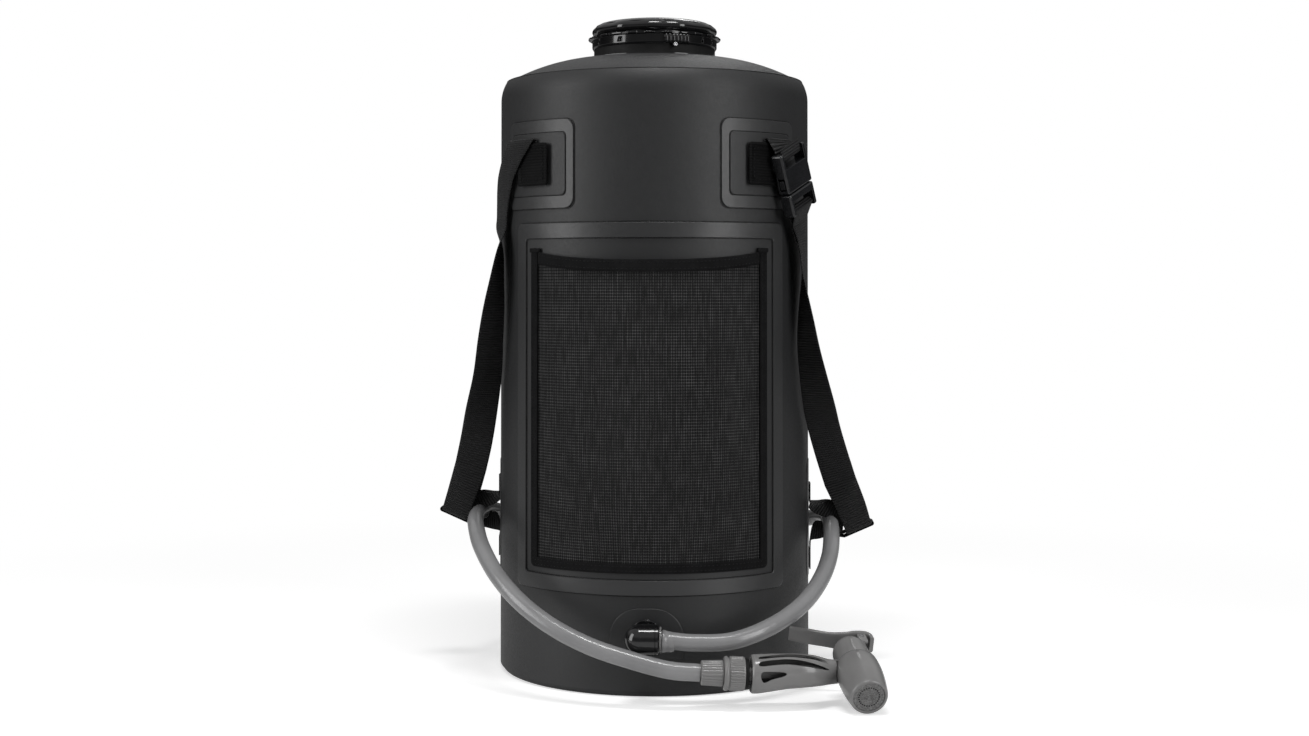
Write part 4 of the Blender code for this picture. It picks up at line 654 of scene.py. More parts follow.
def binding_rim(inward):
    """The U down one side of the pocket, along its foot and up the other, drawn in by that much."""
    corner = max(pocket_corner - inward, 0.4 * mm)
    half = pocket_half - inward
    low = pocket_bottom + inward
    down = [(-half, pocket_top + (low + corner - pocket_top) * i / 60) for i in range(60)]
    for a in fan(math.pi / 2, 8):
        down.append((corner * (1 - math.cos(a)) - half, low + corner * (1 - math.sin(a))))
    along = [(arc, low) for arc in spread(half - corner, 60)[1:-1]]
    return down + along + [(-arc, height) for arc, height in reversed(down)]


def capped(loops, places):
    """The same loops, with each end drawn in to its middle."""
    ends = [[sum(loop[:-1], Vector()) / (len(loop) - 1)] * len(loop) for loop in (loops[0], loops[-1])]
    return [ends[0], *loops, ends[1]], [places[0], *places, places[-1]]


# The folded tape's section: how far in from the edge, in millimetres, and the share of its thickness.
folds = (
    (0.0, 0.0), (0.0, 0.6), (0.35, 0.95), (1.2, 1.0), (2.4, 0.92),
    (4.6, 0.92), (5.9, 1.0), (6.7, 0.9), (7.0, 0.5), (7.0, 0.0),
)
rims = [(binding_rim(inward * mm), over_net + rise * binding_thickness) for inward, rise in folds]
rims.append(rims[0])
binding_loops, binding_places = [], []
for k in range(len(rims[0][0])):
    binding_loops.append([on_wall(*rim[k], standoff) for rim, standoff in rims])
    binding_places.append([rim[k] for rim, _ in rims])
binding = skinned("pocket_binding_tape", *capped(binding_loops, binding_places), tape_look)
fitted(binding, "pocket_binding")
for row, inward in (("outer", 1.9 * mm), ("inner", 5.2 * mm)):
    line = [on_wall(arc, z, over_net + 0.95 * binding_thickness) for arc, z in binding_rim(inward)]
    stitched(f"binding_stitches_{row}", line)

tab_width, tab_rise = 10.0 * mm, 1.6 * mm
for side, word in ((-1, "left"), (1, "right")):
    middle = side * (pocket_half - 4.2 * mm)
    low, high = pocket_top - tab_rise, pocket_top + tab_rise
    tab = round_rectangle(middle, tab_width, low, high, tab_rise / 2, runs=12)
    layers = [(tab, over_net + 0.1 * mm), (tab, over_tape + 0.3 * mm)]
    layers.append((inset(tab, 0.4 * mm), over_tape + 0.7 * mm))
    fitted(on_wall_piece(f"binding_tab_{word}", layers, tape_look))


# Welded patches
# Patches of the tank's fabric reinforce the places that carry the straps, the side loops and the outlet. The
# welder presses a smooth band round each; the dark lines along its edges and grooves are painted shade.

upper_patch_angle = math.radians(44.0)
upper_patch_size = (73.0 * mm, 64.3 * mm, 7.0 * mm)
upper_step_size = (60.0 * mm, 45.5 * mm, 3.5 * mm)
upper_patch_height = wall_top - 30.05 * mm - upper_patch_size[1] / 2
step_thickness = 0.7 * mm
groove = 0.75 * mm

# Lighter in colour than the tank fabric: painted sheen, over the real gloss that its lower roughness gives.
band_look = coated("welded_band_painted_sheen", 0.38, (0.027, 0.0273, 0.028), (0.033, 0.0333, 0.034), 0.5)
# Near-black strips for seams, edges and grooves: painted shade where pieces meet or step down.
seam_shade_look = patterned(
    "seam_shade_line",
    0.45,
    clouds(0.004),
    (0.0008, 0.0008, 0.0009),
    (0.0025, 0.0025, 0.0027),
    reliefs=[(clouds(0.0015), 0.3 * mm)],
    specular=0.3,
)


def standing(middle, height, size, **options):
    """A round rectangle about a height, from its (width, length, corner)."""
    width, length, corner = size
    low = height - length / 2
    return round_rectangle(middle, width, low, low + length, corner, **options)


def seam_shade_line(name, columns, width, low, high):
    """A near-black strip along an edge: painted shade in the seam or groove there."""
    outer = inset(columns, -width)
    layers = [(outer, low), (outer, high), (columns, high), (columns, low)]
    fitted(on_wall_piece(name, layers, seam_shade_look, closed=False))


# A dark ring where the wall laps the top: painted shade under the lap.
seam = ((0.3, 0.05), (1.4, 0.05), (1.3, 0.7), (0.3, 0.8))
seam = [(seam_radius + x * mm, seam_height + z * mm) for x, z in seam]
fitted(lathed("seam_line", seam, seam_shade_look))
seam_shade_line("panel_outer_line", panel_columns, 1.0 * mm, 0.05 * mm, 0.5 * mm)
inner = inset(border_inner, 0.8 * mm)
seam_shade_line("panel_inner_line", inner, 0.8 * mm, panel_face + 0.02 * mm, panel_face + 0.25 * mm)

for side, word in ((-1, "left"), (1, "right")):
    middle = side * upper_patch_angle * mean_radius
    whole, step = (
        standing(middle, upper_patch_height, size, runs=24) for size in (upper_patch_size, upper_step_size)
    )
    layers = [
        (whole, seam_gap),
        (whole, panel_face - 0.15 * mm),
        (inset(whole, 0.15 * mm), panel_face),
        (inset(whole, 0.5 * mm), panel_face),
        (inset(step, -groove - 0.3 * mm), panel_face),
        (inset(step, -groove), panel_face),
        (inset(step, -groove), panel_face - 0.5 * mm),
    ]
    fitted(on_wall_piece(f"upper_band_{word}", layers, band_look), f"upper_patch_{word}")
    seam_shade_line(f"upper_outer_line_{word}", whole, 0.9 * mm, 0.05 * mm, 0.4 * mm)
    # The dark strip in the groove round the raised centre is painted shade.
    seam_shade_line(f"upper_inner_line_{word}", step, groove, panel_face - 0.5 * mm, panel_face - 0.25 * mm)
    layers = soft_edge(step, panel_face - 0.5 * mm, panel_face + step_thickness)
    fitted(on_wall_piece(f"upper_centre_{word}", layers, tank_look))

lower_face = 0.45 * mm
lower_patch_size = (46.0 * mm, 90.0 * mm, 9.0 * mm)
lower_patch_height = 119.5 * mm - 1.6 * mm
for side, word in ((-1, "left"), (1, "right")):
    outline = standing(side * math.pi / 2 * mean_radius, lower_patch_height, lower_patch_size, runs=24)
    layers = soft_edge(outline, seam_gap, lower_face)[:-1]
    piece = on_wall_piece(f"lower_weld_{word}", layers, band_look)
    seam_shade_line(f"lower_line_{word}", outline, 0.5 * mm, 0.05 * mm, 0.2 * mm)
    fitted(piece, f"lower_patch_{word}")

outlet_height = 47.0 * mm
arch_face = panel_face - 0.4 * mm
arch = round_rectangle(0, 54.0 * mm, 28.0 * mm, 65.0 * mm, 22.0 * mm, runs=24, turns=18, foot=0)
layers = [(arch, seam_gap), (arch, arch_face - 0.3 * mm), (inset(arch, 0.3 * mm), arch_face)]
layers.append((inset(arch, 1.0 * mm), arch_face))
fitted(on_wall_piece("outlet_arch", layers, tank_look), "outlet_patch")


# Straps
# Flat 25 mm webbing with fine ribs across it. Each strap's end is sewn under a square of webbing on its
# patch, folds over that, and runs down to an eye that the side loop goes through.

webbing = 1.4 * mm
strap_width = 25.0 * mm
clearance = 0.05 * mm
keeper_size = (32.0 * mm, 31.0 * mm, 2.0 * mm)
keeper_thickness = 1.2 * mm
strap_fold_height = upper_patch_height + 16.7 * mm
strap_fold_arc = upper_patch_angle * mean_radius + 12.65 * mm
under_keeper = panel_face + step_thickness + 3 * seam_gap + webbing / 2
keeper_standoff = under_keeper + webbing / 2 + seam_gap
over_keeper = keeper_standoff + keeper_thickness + 2 * seam_gap + webbing / 2

ribs, given, sent = node_group("ribs", {"Pitch": 0.002, "Strand": 0.0006}, ["Height", "Crest"])
across, along = counted(ribs, given, "Strand", "Pitch")
odd = maths(ribs, "FLOORED_MODULO", maths(ribs, "FLOOR", across), 2.0)
crest = arches(ribs, maths(ribs, "ADD", along, maths(ribs, "MULTIPLY", odd, 0.12)))
strand = maths(ribs, "ADD", maths(ribs, "MULTIPLY", arches(ribs, across), 0.4), 0.6)
ribs.links.new(maths(ribs, "MULTIPLY", crest, strand), sent["Height"])
ribs.links.new(crest, sent["Crest"])


def ribbed(result):
    """The pattern of webbing's ribs: as high as its strands, or lighter on its crests, for painted highlight
    on the crests and painted shade between them.
    """
    return ribs, "UV", result, {"Pitch": 2.0 * mm, "Strand": 0.9 * mm}


# Crests tinted lighter and grooves near black: painted highlight on the crests and painted shade between the
# ribs.
webbing_look = patterned(
    "webbing",
    0.5,
    ribbed("Crest"),
    (0.0006, 0.0006, 0.0007),
    (0.0125, 0.0125, 0.013),
    rubbed=clouds(0.01, 0.44, 0.56),
    reliefs=[(ribbed("Height"), 0.9 * mm)],
    specular=0.28,
)
# Also tinted lighter on its crests: painted highlight, with painted shade between the ribs.
pad_look = patterned(
    "keeper_webbing",
    0.6,
    ribbed("Crest"),
    (0.0008, 0.0008, 0.0009),
    (0.003, 0.003, 0.0032),
    rubbed=clouds(0.01, 0.42, 0.58),
    reliefs=[(ribbed("Height"), 0.25 * mm)],
    specular=0.08,
)

ribbon_shares = (0.0, 0.3, 0.55, 0.75, 0.88, 0.95, 0.985, 1.0)
across_shares = [-share for share in reversed(ribbon_shares[1:])] + list(ribbon_shares)


def webbing_band(name, stations, thickness, look=webbing_look):
    """A woven band through stations of (middle, half of its width, how far its edges bend away)."""
    loops, places = [], []
    travelled = 0.0
    last = len(stations) - 1
    for i, (middle, half, bend) in enumerate(stations):
        up = band_normal(stations, i) * thickness / 2
        if i:
            travelled += (middle - stations[i - 1][0]).length
        over, under, run = [], [], []
        for share in across_shares:
            spot = middle + half * share + bend * share**2
            full = math.sqrt(max(1 - abs(share) ** 14, 0))
            over.append(spot + up * full)
            under.append(spot - up * full)
            run.append((share * half.length, travelled))
        loops.append(over + under[-2::-1])
        places.append(run + run[-2::-1])
        if i in (0, last):
            flat = [(a + b) / 2 for a, b in zip(over, under)]
            at = 0 if i == 0 else len(loops)
            loops.insert(at, flat + flat[-2::-1])
            places.insert(at, places[-1])
    return skinned(name, loops, places, look, smooth=50.0)


def band_normal(stations, i):
    """The way out of a band's face at one of its stations."""
    along = stations[min(i + 1, len(stations) - 1)][0] - stations[max(i - 1, 0)][0]
    return along.cross(stations[i][1]).normalized()


def beside(stations, i, distance):
    """The station that lies that far from one of a band's, along its normal."""
    middle, half, bend = stations[i]
    return middle + band_normal(stations, i) * distance, half, bend


def free(spot, half):
    """A station whose edges don't bend away."""
    return spot, half, Vector()


def arc_stations(middle, start, onward, half, steps, share=1.0, bend=Vector()):
    """Stations on a turn about the middle, from start, setting out onward."""
    turns = fan(math.pi * share, steps)
    return [(middle + start * math.cos(a) + onward * math.sin(a), half, bend) for a in turns]


def eased(keys, count):
    """Stations on smooth curves through a few."""
    return list(zip(*(smooth_line([key[k] for key in keys], count) for k in range(3))))


def wall_station(side, arc, height, standoff, half_width):
    """A station on the wall, bent to it, whose half width lies level and points to the front."""
    angle = side * arc / mean_radius
    along = Vector((math.cos(angle), math.sin(angle), 0))
    outward = Vector((math.sin(angle), -math.cos(angle), 0))
    bend = outward * -(half_width**2) / (2 * mean_radius)
    return on_wall(side * arc, height, standoff), along * -side * half_width, bend


def free_station(side, out, depth, height, turn, tilt):
    """A station off the wall in millimetres, with the turn and tilt of its front edge in degrees."""
    turn, tilt = math.radians(turn), math.radians(tilt)
    way = Vector((side * math.cos(tilt) * math.cos(turn), math.cos(tilt) * math.sin(turn), math.sin(tilt)))
    return free(Vector((side * (out * mm), depth * mm, height * mm)), way * strap_width / 2)


def fold_stations(side, half_width):
    """A strap's end under its keeper, and its turn over the keeper's upper edge."""
    radius = (over_keeper - under_keeper) / 2
    arc, height = strap_fold_arc, strap_fold_height
    middle, half, bend = wall_station(side, arc, height, under_keeper + radius, half_width)
    outward = off_axis(middle)
    under = wall_station(side, arc - 11.25 * mm, height - 12.5 * mm, under_keeper, half_width)
    return [under] + arc_stations(middle, outward * -radius, Vector((0, 0, radius)), half, 14, bend=bend)


eye_half_width = 10.5 * mm
eye_half_depth = 9.4 * mm
eye_leg = 18.0 * mm
eye_corner = 2.0 * mm
eyes = {-1: (157.3 * mm, 117.9 * mm), 1: (160.0 * mm, 108.7 * mm)}
eye_lean = math.radians(20.0)
eye_tilt = math.radians(24.0)


def eye_frame(side):
    """Where the floor of a strap's eye is, and the ways along its fold and up the strap."""
    out, height = eyes[side]
    along = Vector((side * math.cos(eye_tilt), 0, math.sin(eye_tilt)))
    up = Vector((-side * math.sin(eye_lean), 0, math.cos(eye_lean)))
    return Vector((side * out, 0, height)), along, up


def eye_stations(side, above, tail_stations=12):
    """The eye at a strap's foot: down its front leg, along its floor, and up the back to a sewn tail."""
    floor, along, up = eye_frame(side)
    back = Vector((0, 1, 0))
    narrow = along * eye_half_width
    wide = along * (eye_half_width + strap_width / 2) / 2
    front_top = free(floor + up * eye_leg - back * eye_half_depth, wide)
    rear_top = free(floor + up * eye_leg + back * eye_half_depth, wide)
    run = back * (eye_half_depth - eye_corner)
    low = floor + up * eye_corner
    turn_down = arc_stations(low - run, back * -eye_corner, up * -eye_corner, narrow, 6, 0.5)
    turn_up = arc_stations(low + run, up * -eye_corner, back * eye_corner, narrow, 6, 0.5)
    step = (webbing + seam_gap) * -side
    last = len(above) - 1
    front = eased([above[-1], front_top, turn_down[0]], 9)[1:-1]
    tail = [beside(above, last - i, step) for i in range(tail_stations)]
    rear = eased([turn_up[-1], rear_top, tail[0]], 9)[1:-1]
    return above + front + turn_down + turn_up + rear + tail


# Where the straps run, in millimetres and degrees: on the wall (arc, height, standoff, half width), then off
# it (out, depth, height, turn, tilt).
left_wall_run = (
    (109.0, 398.5, 7.3, 16.6), (116.5, 390.0, 7.2, 16.0), (124.5, 380.0, 7.0, 15.3),
    (131.5, 370.0, 6.0, 14.7), (137.0, 360.0, 5.0, 14.2), (140.8, 350.0, 4.5, 13.8),
    (142.6, 340.0, 4.5, 13.4),
)
left_free_run = (
    (114.2, -53.5, 325.0, -88, 0), (116.4, -57.0, 302.0, -72, 0), (118.8, -56.5, 281.0, -58, 0),
    (121.6, -54.3, 258.0, -48, 0), (125.0, -47.0, 231.0, -37, 0), (131.8, -32.0, 203.0, -20, 4),
    (138.0, -18.0, 178.0, -6, 10), (143.8, -10.5, 156.5, 0, 18),
)
right_free_run = (
    (113.0, -56.0, 330.0, -103, -4), (114.0, -56.0, 305.0, -90, 0), (116.0, -60.0, 275.0, -66, 0),
    (118.8, -60.5, 248.3, -48, 0), (126.2, -46.0, 211.1, -18, 0), (131.2, -32.0, 190.0, -8, 4),
    (137.8, -19.0, 168.0, -4, 10), (145.0, -10.0, 146.0, 0, 18),
)

left_keys = [wall_station(-1, *(value * mm for value in run)) for run in left_wall_run]
left_keys += [free_station(-1, *run) for run in left_free_run]
left_stations = fold_stations(-1, 16.8 * mm)[:-1] + eye_stations(-1, eased(left_keys, 150))
fitted(webbing_band("left_strap", left_stations, webbing), "strap_left")

buckle_angle = math.radians(55.0)
buckle_lean = math.radians(23.0)
bar_station = 20.5 * mm
bar_turn = 1.7 * mm + 0.25 * mm + webbing / 2 + clearance
outward = Vector((math.sin(buckle_angle), -math.cos(buckle_angle), 0))
across = Vector((math.cos(buckle_angle), math.sin(buckle_angle), 0)) * math.cos(buckle_lean)
across.z = math.sin(buckle_lean)
buckle_middle = on_wall(buckle_angle * mean_radius, strap_fold_height - 27.5 * mm, 11.1 * mm)
buckle_x = across.normalized()
buckle_y = outward.cross(buckle_x).normalized()
buckle_z = buckle_x.cross(buckle_y)

down = -buckle_y
half = buckle_x * -strap_width / 2
upper_bar = buckle_middle - down * bar_station
lower_bar = buckle_middle + down * bar_station
level = wall_station(1, strap_fold_arc, strap_fold_height, 0, 13.6 * mm)[1]
stub = fold_stations(1, 13.6 * mm)
lead = free(upper_bar - buckle_z * bar_turn - down * 5.0 * mm, (level + half * 2) / 3)
wrap = arc_stations(upper_bar, buckle_z * -bar_turn, down * bar_turn, half, 16)
stub += eased([stub[-1], lead, wrap[0]], 12)[1:-1] + wrap
for share, back in ((1.0, bar_turn), (0.9, 4.5 * mm), (0.8, 7.0 * mm)):
    stub.append(free(upper_bar + buckle_z * bar_turn * share - down * back, half))
fitted(webbing_band("buckle_stub", stub, webbing), "strap_stub_right")

right_keys = [free(lower_bar - buckle_z * bar_turn + down * 5.0 * mm, half)]
right_keys += [free_station(1, *run) for run in right_free_run]
right_run = eased(right_keys, 150)
wrap = arc_stations(lower_bar, buckle_z * bar_turn, down * -bar_turn, half, 16)
tail = [beside(right_run, i, webbing + seam_gap) for i in range(18, 8, -1)]
below = free(lower_bar + buckle_z * bar_turn + down * bar_turn / 2, half)
start = tail + eased([tail[-1], below, wrap[0]], 8)[1:-1] + wrap
start += eased([wrap[-1], right_run[0]], 4)[1:-1]
right_strap = webbing_band("right_strap", start + eye_stations(1, right_run), webbing)
fitted(right_strap, "strap_right")

for side, word in ((-1, "left"), (1, "right")):
    middle = side * upper_patch_angle * mean_radius
    outline = standing(middle, upper_patch_height, keeper_size, runs=24, turns=6)
    layers = []
    for inward, rise in ((0, 0), (0, 0.7), (0.5, 1), (2.2, 1), (3.0, 0.5)):
        columns = inset(outline, inward * mm) if inward else outline
        layers.append((columns, keeper_standoff + keeper_thickness * rise))
    fitted(on_wall_piece(f"keeper_{word}", layers, pad_look), f"strap_keeper_{word}")
    inner = inset(outline, 4.2 * mm)
    rim = [(arc, high) for arc, _, high in inner] + [(arc, low) for arc, low, _ in reversed(inner)]
    line = [on_wall(arc, height, keeper_standoff + keeper_thickness * 0.55) for arc, height in rim + rim[:1]]
    stitched(f"keeper_stitches_{word}", line)


# Side loops
# Narrower webbing, sewn to a patch at each side. It goes over the hose and through the strap's eye, and back.

loop_webbing = 1.0 * mm
loop_width = 15.0 * mm
loop_tail = 15.0 * mm
# Where a loop passes the hose, off the hose's middle in millimetres, and its turn and tilt in degrees.
over_hose = (
    (-13.0, -2.0, 13.5, 30, 20), (-6.5, -4.0, 12.0, 58, 48), (1.0, -4.5, 9.5, 62, 60),
    (8.0, -4.0, 3.5, 45, 50),
)
under_hose = ((2.5, 9.0, -6.0, 30, 62), (-7.0, 6.5, -7.5, 20, 66), (-14.0, 3.0, -9.0, 20, 60))


def twisted(side, middle, x, y, z, turn, tilt):
    """A station where a loop's webbing is twisted."""
    turn, tilt = math.radians(turn), math.radians(tilt)
    way = Vector((side * math.cos(tilt) * math.sin(turn), math.cos(tilt) * math.cos(turn), math.sin(tilt)))
    spot = Vector((side * (abs(middle[0]) + x * mm), y * mm, middle[2] + z * mm))
    return free(spot, way * loop_width / 2)


for side, word, passing in ((-1, "left", hose_route[20]), (1, "right", hose_route[10])):
    floor_point, along, _ = eye_frame(side)
    square = along.cross(Vector((0, 1, 0))) * -side
    square = square if square.z > 0 else -square
    step = webbing / 2 + seam_gap + loop_webbing / 2 + clearance
    half = Vector((0, loop_width / 2, 0))
    sewn = lower_face + seam_gap + loop_webbing / 2
    seams, tails = [], []
    for z, way in ((passing[2] + 15.5 * mm, 1), (floor_point.z - 17.0 * mm, -1)):
        for spots, height in ((seams, z), (tails, z + loop_tail * way)):
            spots.append(free(Vector((side * (wall_radius(height) + sewn), 0, height)), half))
    start = floor_point - along * (eye_half_width + 2.5 * mm)
    keys = [seams[0], *(twisted(side, passing, *row) for row in over_hose), free(start + square * step, half)]
    tip = floor_point + along * eye_half_width
    stations = [tails[0], *eased(keys, 60), free(floor_point + square * step, half)]
    stations += arc_stations(tip, square * step, along * step, half, 10)
    stations += [free(floor_point - square * step, half), free(start - square * step, half)]
    keys = [stations[-1], *(twisted(side, passing, *row) for row in under_hose), seams[1]]
    stations += eased(keys, 40)[1:] + [tails[1]]
    side_loop = webbing_band(f"side_loop_{word}", stations, loop_webbing)
    fitted(side_loop, f"anchor_loop_{word}")


# Moulded plastics and metal
# Acetal and polypropylene parts come out of the mould with a fine skin grain, and shine where they are
# rubbed.


def moulded(name, roughness, dark, light, depth, **options):
    """Moulded plastic: a grain that deep in millimetres, and patches that are rubbed smoother."""
    rubbed = clouds(0.004, roughness - 0.04, roughness + 0.04)
    reliefs = [(clouds(0.0007), depth * mm)]
    return patterned(name, roughness, clouds(0.02), dark, light, rubbed, reliefs, **options)


black_look = moulded(
    "gloss_black_plastic", 0.13, (0.003, 0.003, 0.0033), (0.006, 0.006, 0.0065), 0.003, coat=0.2
)
buckle_look = moulded("buckle_acetal", 0.22, (0.008, 0.0085, 0.0095), (0.014, 0.0145, 0.016), 0.012)
grey_look = moulded("grey_sprayer_plastic", 0.20, (0.175, 0.173, 0.172), (0.205, 0.203, 0.201), 0.002)
rubber_look = moulded("black_rubber", 0.62, (0.003, 0.003, 0.003), (0.006, 0.006, 0.006), 0.02, specular=0.2)
steel_look = patterned(
    "screw_steel",
    0.28,
    clouds(0.003),
    (0.26, 0.26, 0.27),
    (0.36, 0.36, 0.37),
    rubbed=clouds(0.0006, 0.2, 0.4),
    metal=1.0,
)


def bevelled(piece, width, angle):
    """Rounds a piece's sharp edges, as a mould does."""
    rounding = piece.modifiers.new("rounding", "BEVEL")
    rounding.width = width
    rounding.segments = 2
    rounding.limit_method = "ANGLE"
    rounding.angle_limit = math.radians(angle)


def carried(look, bevel, *nodes):
    """Gives CAD nodes their finish, and breaks their sharp edges."""
    for name in nodes:
        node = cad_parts[name]
        node.data.materials.clear()
        node.data.materials.append(look)
        if bevel:
            node.modifiers.new("weld", "WELD").merge_threshold = 0.005 * mm
            bevelled(node, bevel, 35)


carried(black_look, 0.25 * mm, "outlet_nut", "neck_spout")
carried(buckle_look, 0.3 * mm, "buckle_female", "buckle_male", "buckle_arm_front", "buckle_arm_rear")
carried(rubber_look, 0, "lid_seal", "outlet_gasket", "valve_seal")
carried(steel_look, 0.15 * mm, "lever_pin")
carried(grey_look, 0, "sprayer_tube", "valve_plunger")


# Collar and lid
# A glossy split ring clamps the neck's fabric to the spout. The lid screws on it, with twelve lobes to grip.


def circle(radius, height, steps):
    """A ring of points about Z that ends where it starts."""
    return [Vector((radius * math.cos(a), radius * math.sin(a), height)) for a in fan(2 * math.pi, steps)]


def turned_piece(name, outline, look, place=None, steps=96, closed=True, smooth=30.0):
    """A solid of revolution about its own Z, from (radius, height) round its section."""
    section = outline + outline[:1] if closed else outline
    loops = [circle(radius, height, steps) for radius, height in section]
    places = [[(0.01 * a, z) for a in fan(2 * math.pi, steps)] for _, z in section]
    obj = skinned(name, loops, places, look, smooth)
    if place is not None:
        obj.matrix_world = place
    return obj


def sized(*points):
    """Points given in millimetres."""
    return [tuple(value * mm for value in point) for point in points]


def rounded(outline, radius, steps=4):
    """The outline with its corners rounded, as far as its shortest side allows."""
    found = []
    count = len(outline)
    for i, corner in enumerate(outline):
        corner = Vector(corner)
        before, after = Vector(outline[i - 1]) - corner, Vector(outline[(i + 1) % count]) - corner
        reach = min(radius, before.length * 0.45, after.length * 0.45)
        if corner.x < 1e-6 or before.angle(after) > math.radians(165):
            found.append(tuple(corner))
            continue
        a, b = corner + before.normalized() * reach, corner + after.normalized() * reach
        for t in fan(1.0, steps):
            found.append(tuple(a * (1 - t) ** 2 + corner * 2 * t * (1 - t) + b * t**2))
    return found


def hooped(inner, outer, low, high, radius):
    """The rounded section of a plain hoop."""
    return rounded([(inner, low), (outer, low), (outer, high), (inner, high)], radius)


spout_radius = 44.8 * mm
lid_radius = 48.5 * mm
lid_bottom = collar_top + 0.9 * mm
lid_height = 11.2 * mm
lid_lobes = 12
clasp_azimuth = math.radians(23.0)

# A matt black band over the fabric neck under the collar: painted shade on the neck.
band_inner, band_outer = 46.4 * mm, 47.0 * mm
band_foot, band_head = neck_foot - 1.0 * mm, collar_bottom + 0.5 * mm
band_outline = [(band_inner, band_foot), (band_outer + 0.6 * mm, band_foot)]
band_outline += [(band_outer, neck_foot + 1.5 * mm), (band_outer, band_head), (band_inner, band_head)]
fitted(turned_piece("neck_shade_band", band_outline, rubber_look, steps=120))

collar_bore = spout_radius + 2 * seam_gap + fabric + 0.25 * mm
collar_outer = collar_bore + 1.5 * mm
lip = 3.0 * mm
collar_section = rounded(
    [
        (collar_bore, collar_bottom),
        (collar_outer - 0.8 * mm, collar_bottom),
        (collar_outer, collar_bottom + 1.5 * mm),
        (collar_outer, collar_top - 1.6 * mm),
        (collar_outer + lip, collar_top - 1.1 * mm),
        (collar_outer + lip, collar_top),
        (collar_bore, collar_top),
    ],
    0.35 * mm,
)
collar = turned_piece("clamp_collar", collar_section, black_look, steps=160)


def box_in(place, low, high):
    """A box between two corners."""
    bm = bmesh.new()
    size, middle = Vector(high) - Vector(low), (Vector(high) + Vector(low)) / 2
    turn = place @ Matrix.Translation(middle) @ Matrix.Diagonal((*size, 1.0))
    bmesh.ops.create_cube(bm, size=1.0, matrix=turn)
    return bm


def cut_with(piece, name, bm, operation="DIFFERENCE"):
    """Cuts, or joins on, a closed mesh, at once."""
    bmesh.ops.recalc_face_normals(bm, faces=bm.faces)
    tool = solid(name, bm)
    modifier = piece.modifiers.new(name, "BOOLEAN")
    modifier.operation = operation
    modifier.object = tool
    settle(piece)
    bpy.data.objects.remove(tool, do_unlink=True)


def settle(piece):
    """Applies a piece's modifiers to its mesh."""
    bpy.context.view_layer.update()
    graph = bpy.context.evaluated_depsgraph_get()
    made = bpy.data.meshes.new_from_object(piece.evaluated_get(graph), depsgraph=graph)
    piece.modifiers.clear()
    piece.data = made


def collar_slot(azimuth, half_width, reach, rise):
    """Cuts a slot in the collar from its outside, at an azimuth in degrees."""
    turn = Matrix.Rotation(math.radians(azimuth), 4, "Z")
    slot = box_in(turn, (-half_width, -reach[0], rise[0]), (half_width, -reach[1], rise[1]))
    cut_with(collar, "collar_slot", slot)


split_rise = (collar_bottom - 2 * mm, collar_top + 2 * mm)
collar_slot(23.0, 2 * mm, (collar_outer + 4 * mm, collar_bore - 2 * mm), split_rise)
notch_reach = (collar_outer + 2 * mm, collar_outer - 0.9 * mm)
notch_rise = (collar_bottom + 2.6 * mm, collar_bottom + 4.6 * mm)
for azimuth in (-75.0, -58.0, -31.5, -29.0, 52.0, 68.0):
    collar_slot(azimuth, 0.7 * mm, notch_reach, notch_rise)
gap_reach = (collar_outer + lip + 1 * mm, collar_outer + lip - 0.8 * mm)
gap_rise = (collar_top - 2 * mm, collar_top + 1 * mm)
for i in range(24):
    collar_slot(15.0 * i + 6.0, 2.6 * mm, gap_reach, gap_rise)

clasp_ribs = 7
clasp_half = math.radians(11.5)
clasp_steps = clasp_ribs * 8
foot, head = collar_bottom + 0.6 * mm, collar_top - 2.0 * mm
clasp_root, clasp_soft = collar_outer - 0.5 * mm, 0.6 * mm
clasp_loops, clasp_places = [], []
for i in range(clasp_steps + 1):
    angle = clasp_azimuth - clasp_half + 2 * clasp_half * i / clasp_steps
    out = Vector((math.sin(angle), -math.cos(angle), 0))
    rib = collar_outer + 2.6 * mm + 0.7 * mm * abs(math.sin(math.pi * clasp_ribs * i / clasp_steps))
    edge = [(clasp_root, foot), (rib - 0.5 * mm, foot), (rib, foot + clasp_soft)]
    edge += [(rib, head - clasp_soft), (rib - 0.5 * mm, head), (clasp_root, head), (clasp_root, foot)]
    clasp_loops.append([out * radius + Vector((0, 0, height)) for radius, height in edge])
    clasp_places.append([(collar_outer * angle, height) for _, height in edge])
clasp = skinned("clasp_block", *capped(clasp_loops, clasp_places), black_look)
fitted(clasp, "collar_clasp")

screw_place = Matrix.Rotation(clasp_azimuth - math.radians(2.0), 4, "Z")
screw_place @= Matrix.Translation((0, -collar_outer - 1.5 * mm, collar_bottom - 0.8 * mm))
screw_place @= Matrix.Rotation(math.pi / 2, 4, "X")
head = rounded(sized((0, -2.0), (1.7, -2.0), (1.7, 1.6), (0, 2.0)), 0.5 * mm)
clasp_screw = turned_piece("clasp_screw", head, steel_look, screw_place, steps=32, closed=False)
cut_with(clasp_screw, "screw_slot", box_in(screw_place, *sized((-2, -0.3, 1.2), (2, 0.3, 3))))
fitted(clasp_screw, "collar_screw")
fitted(collar, "collar_ring")

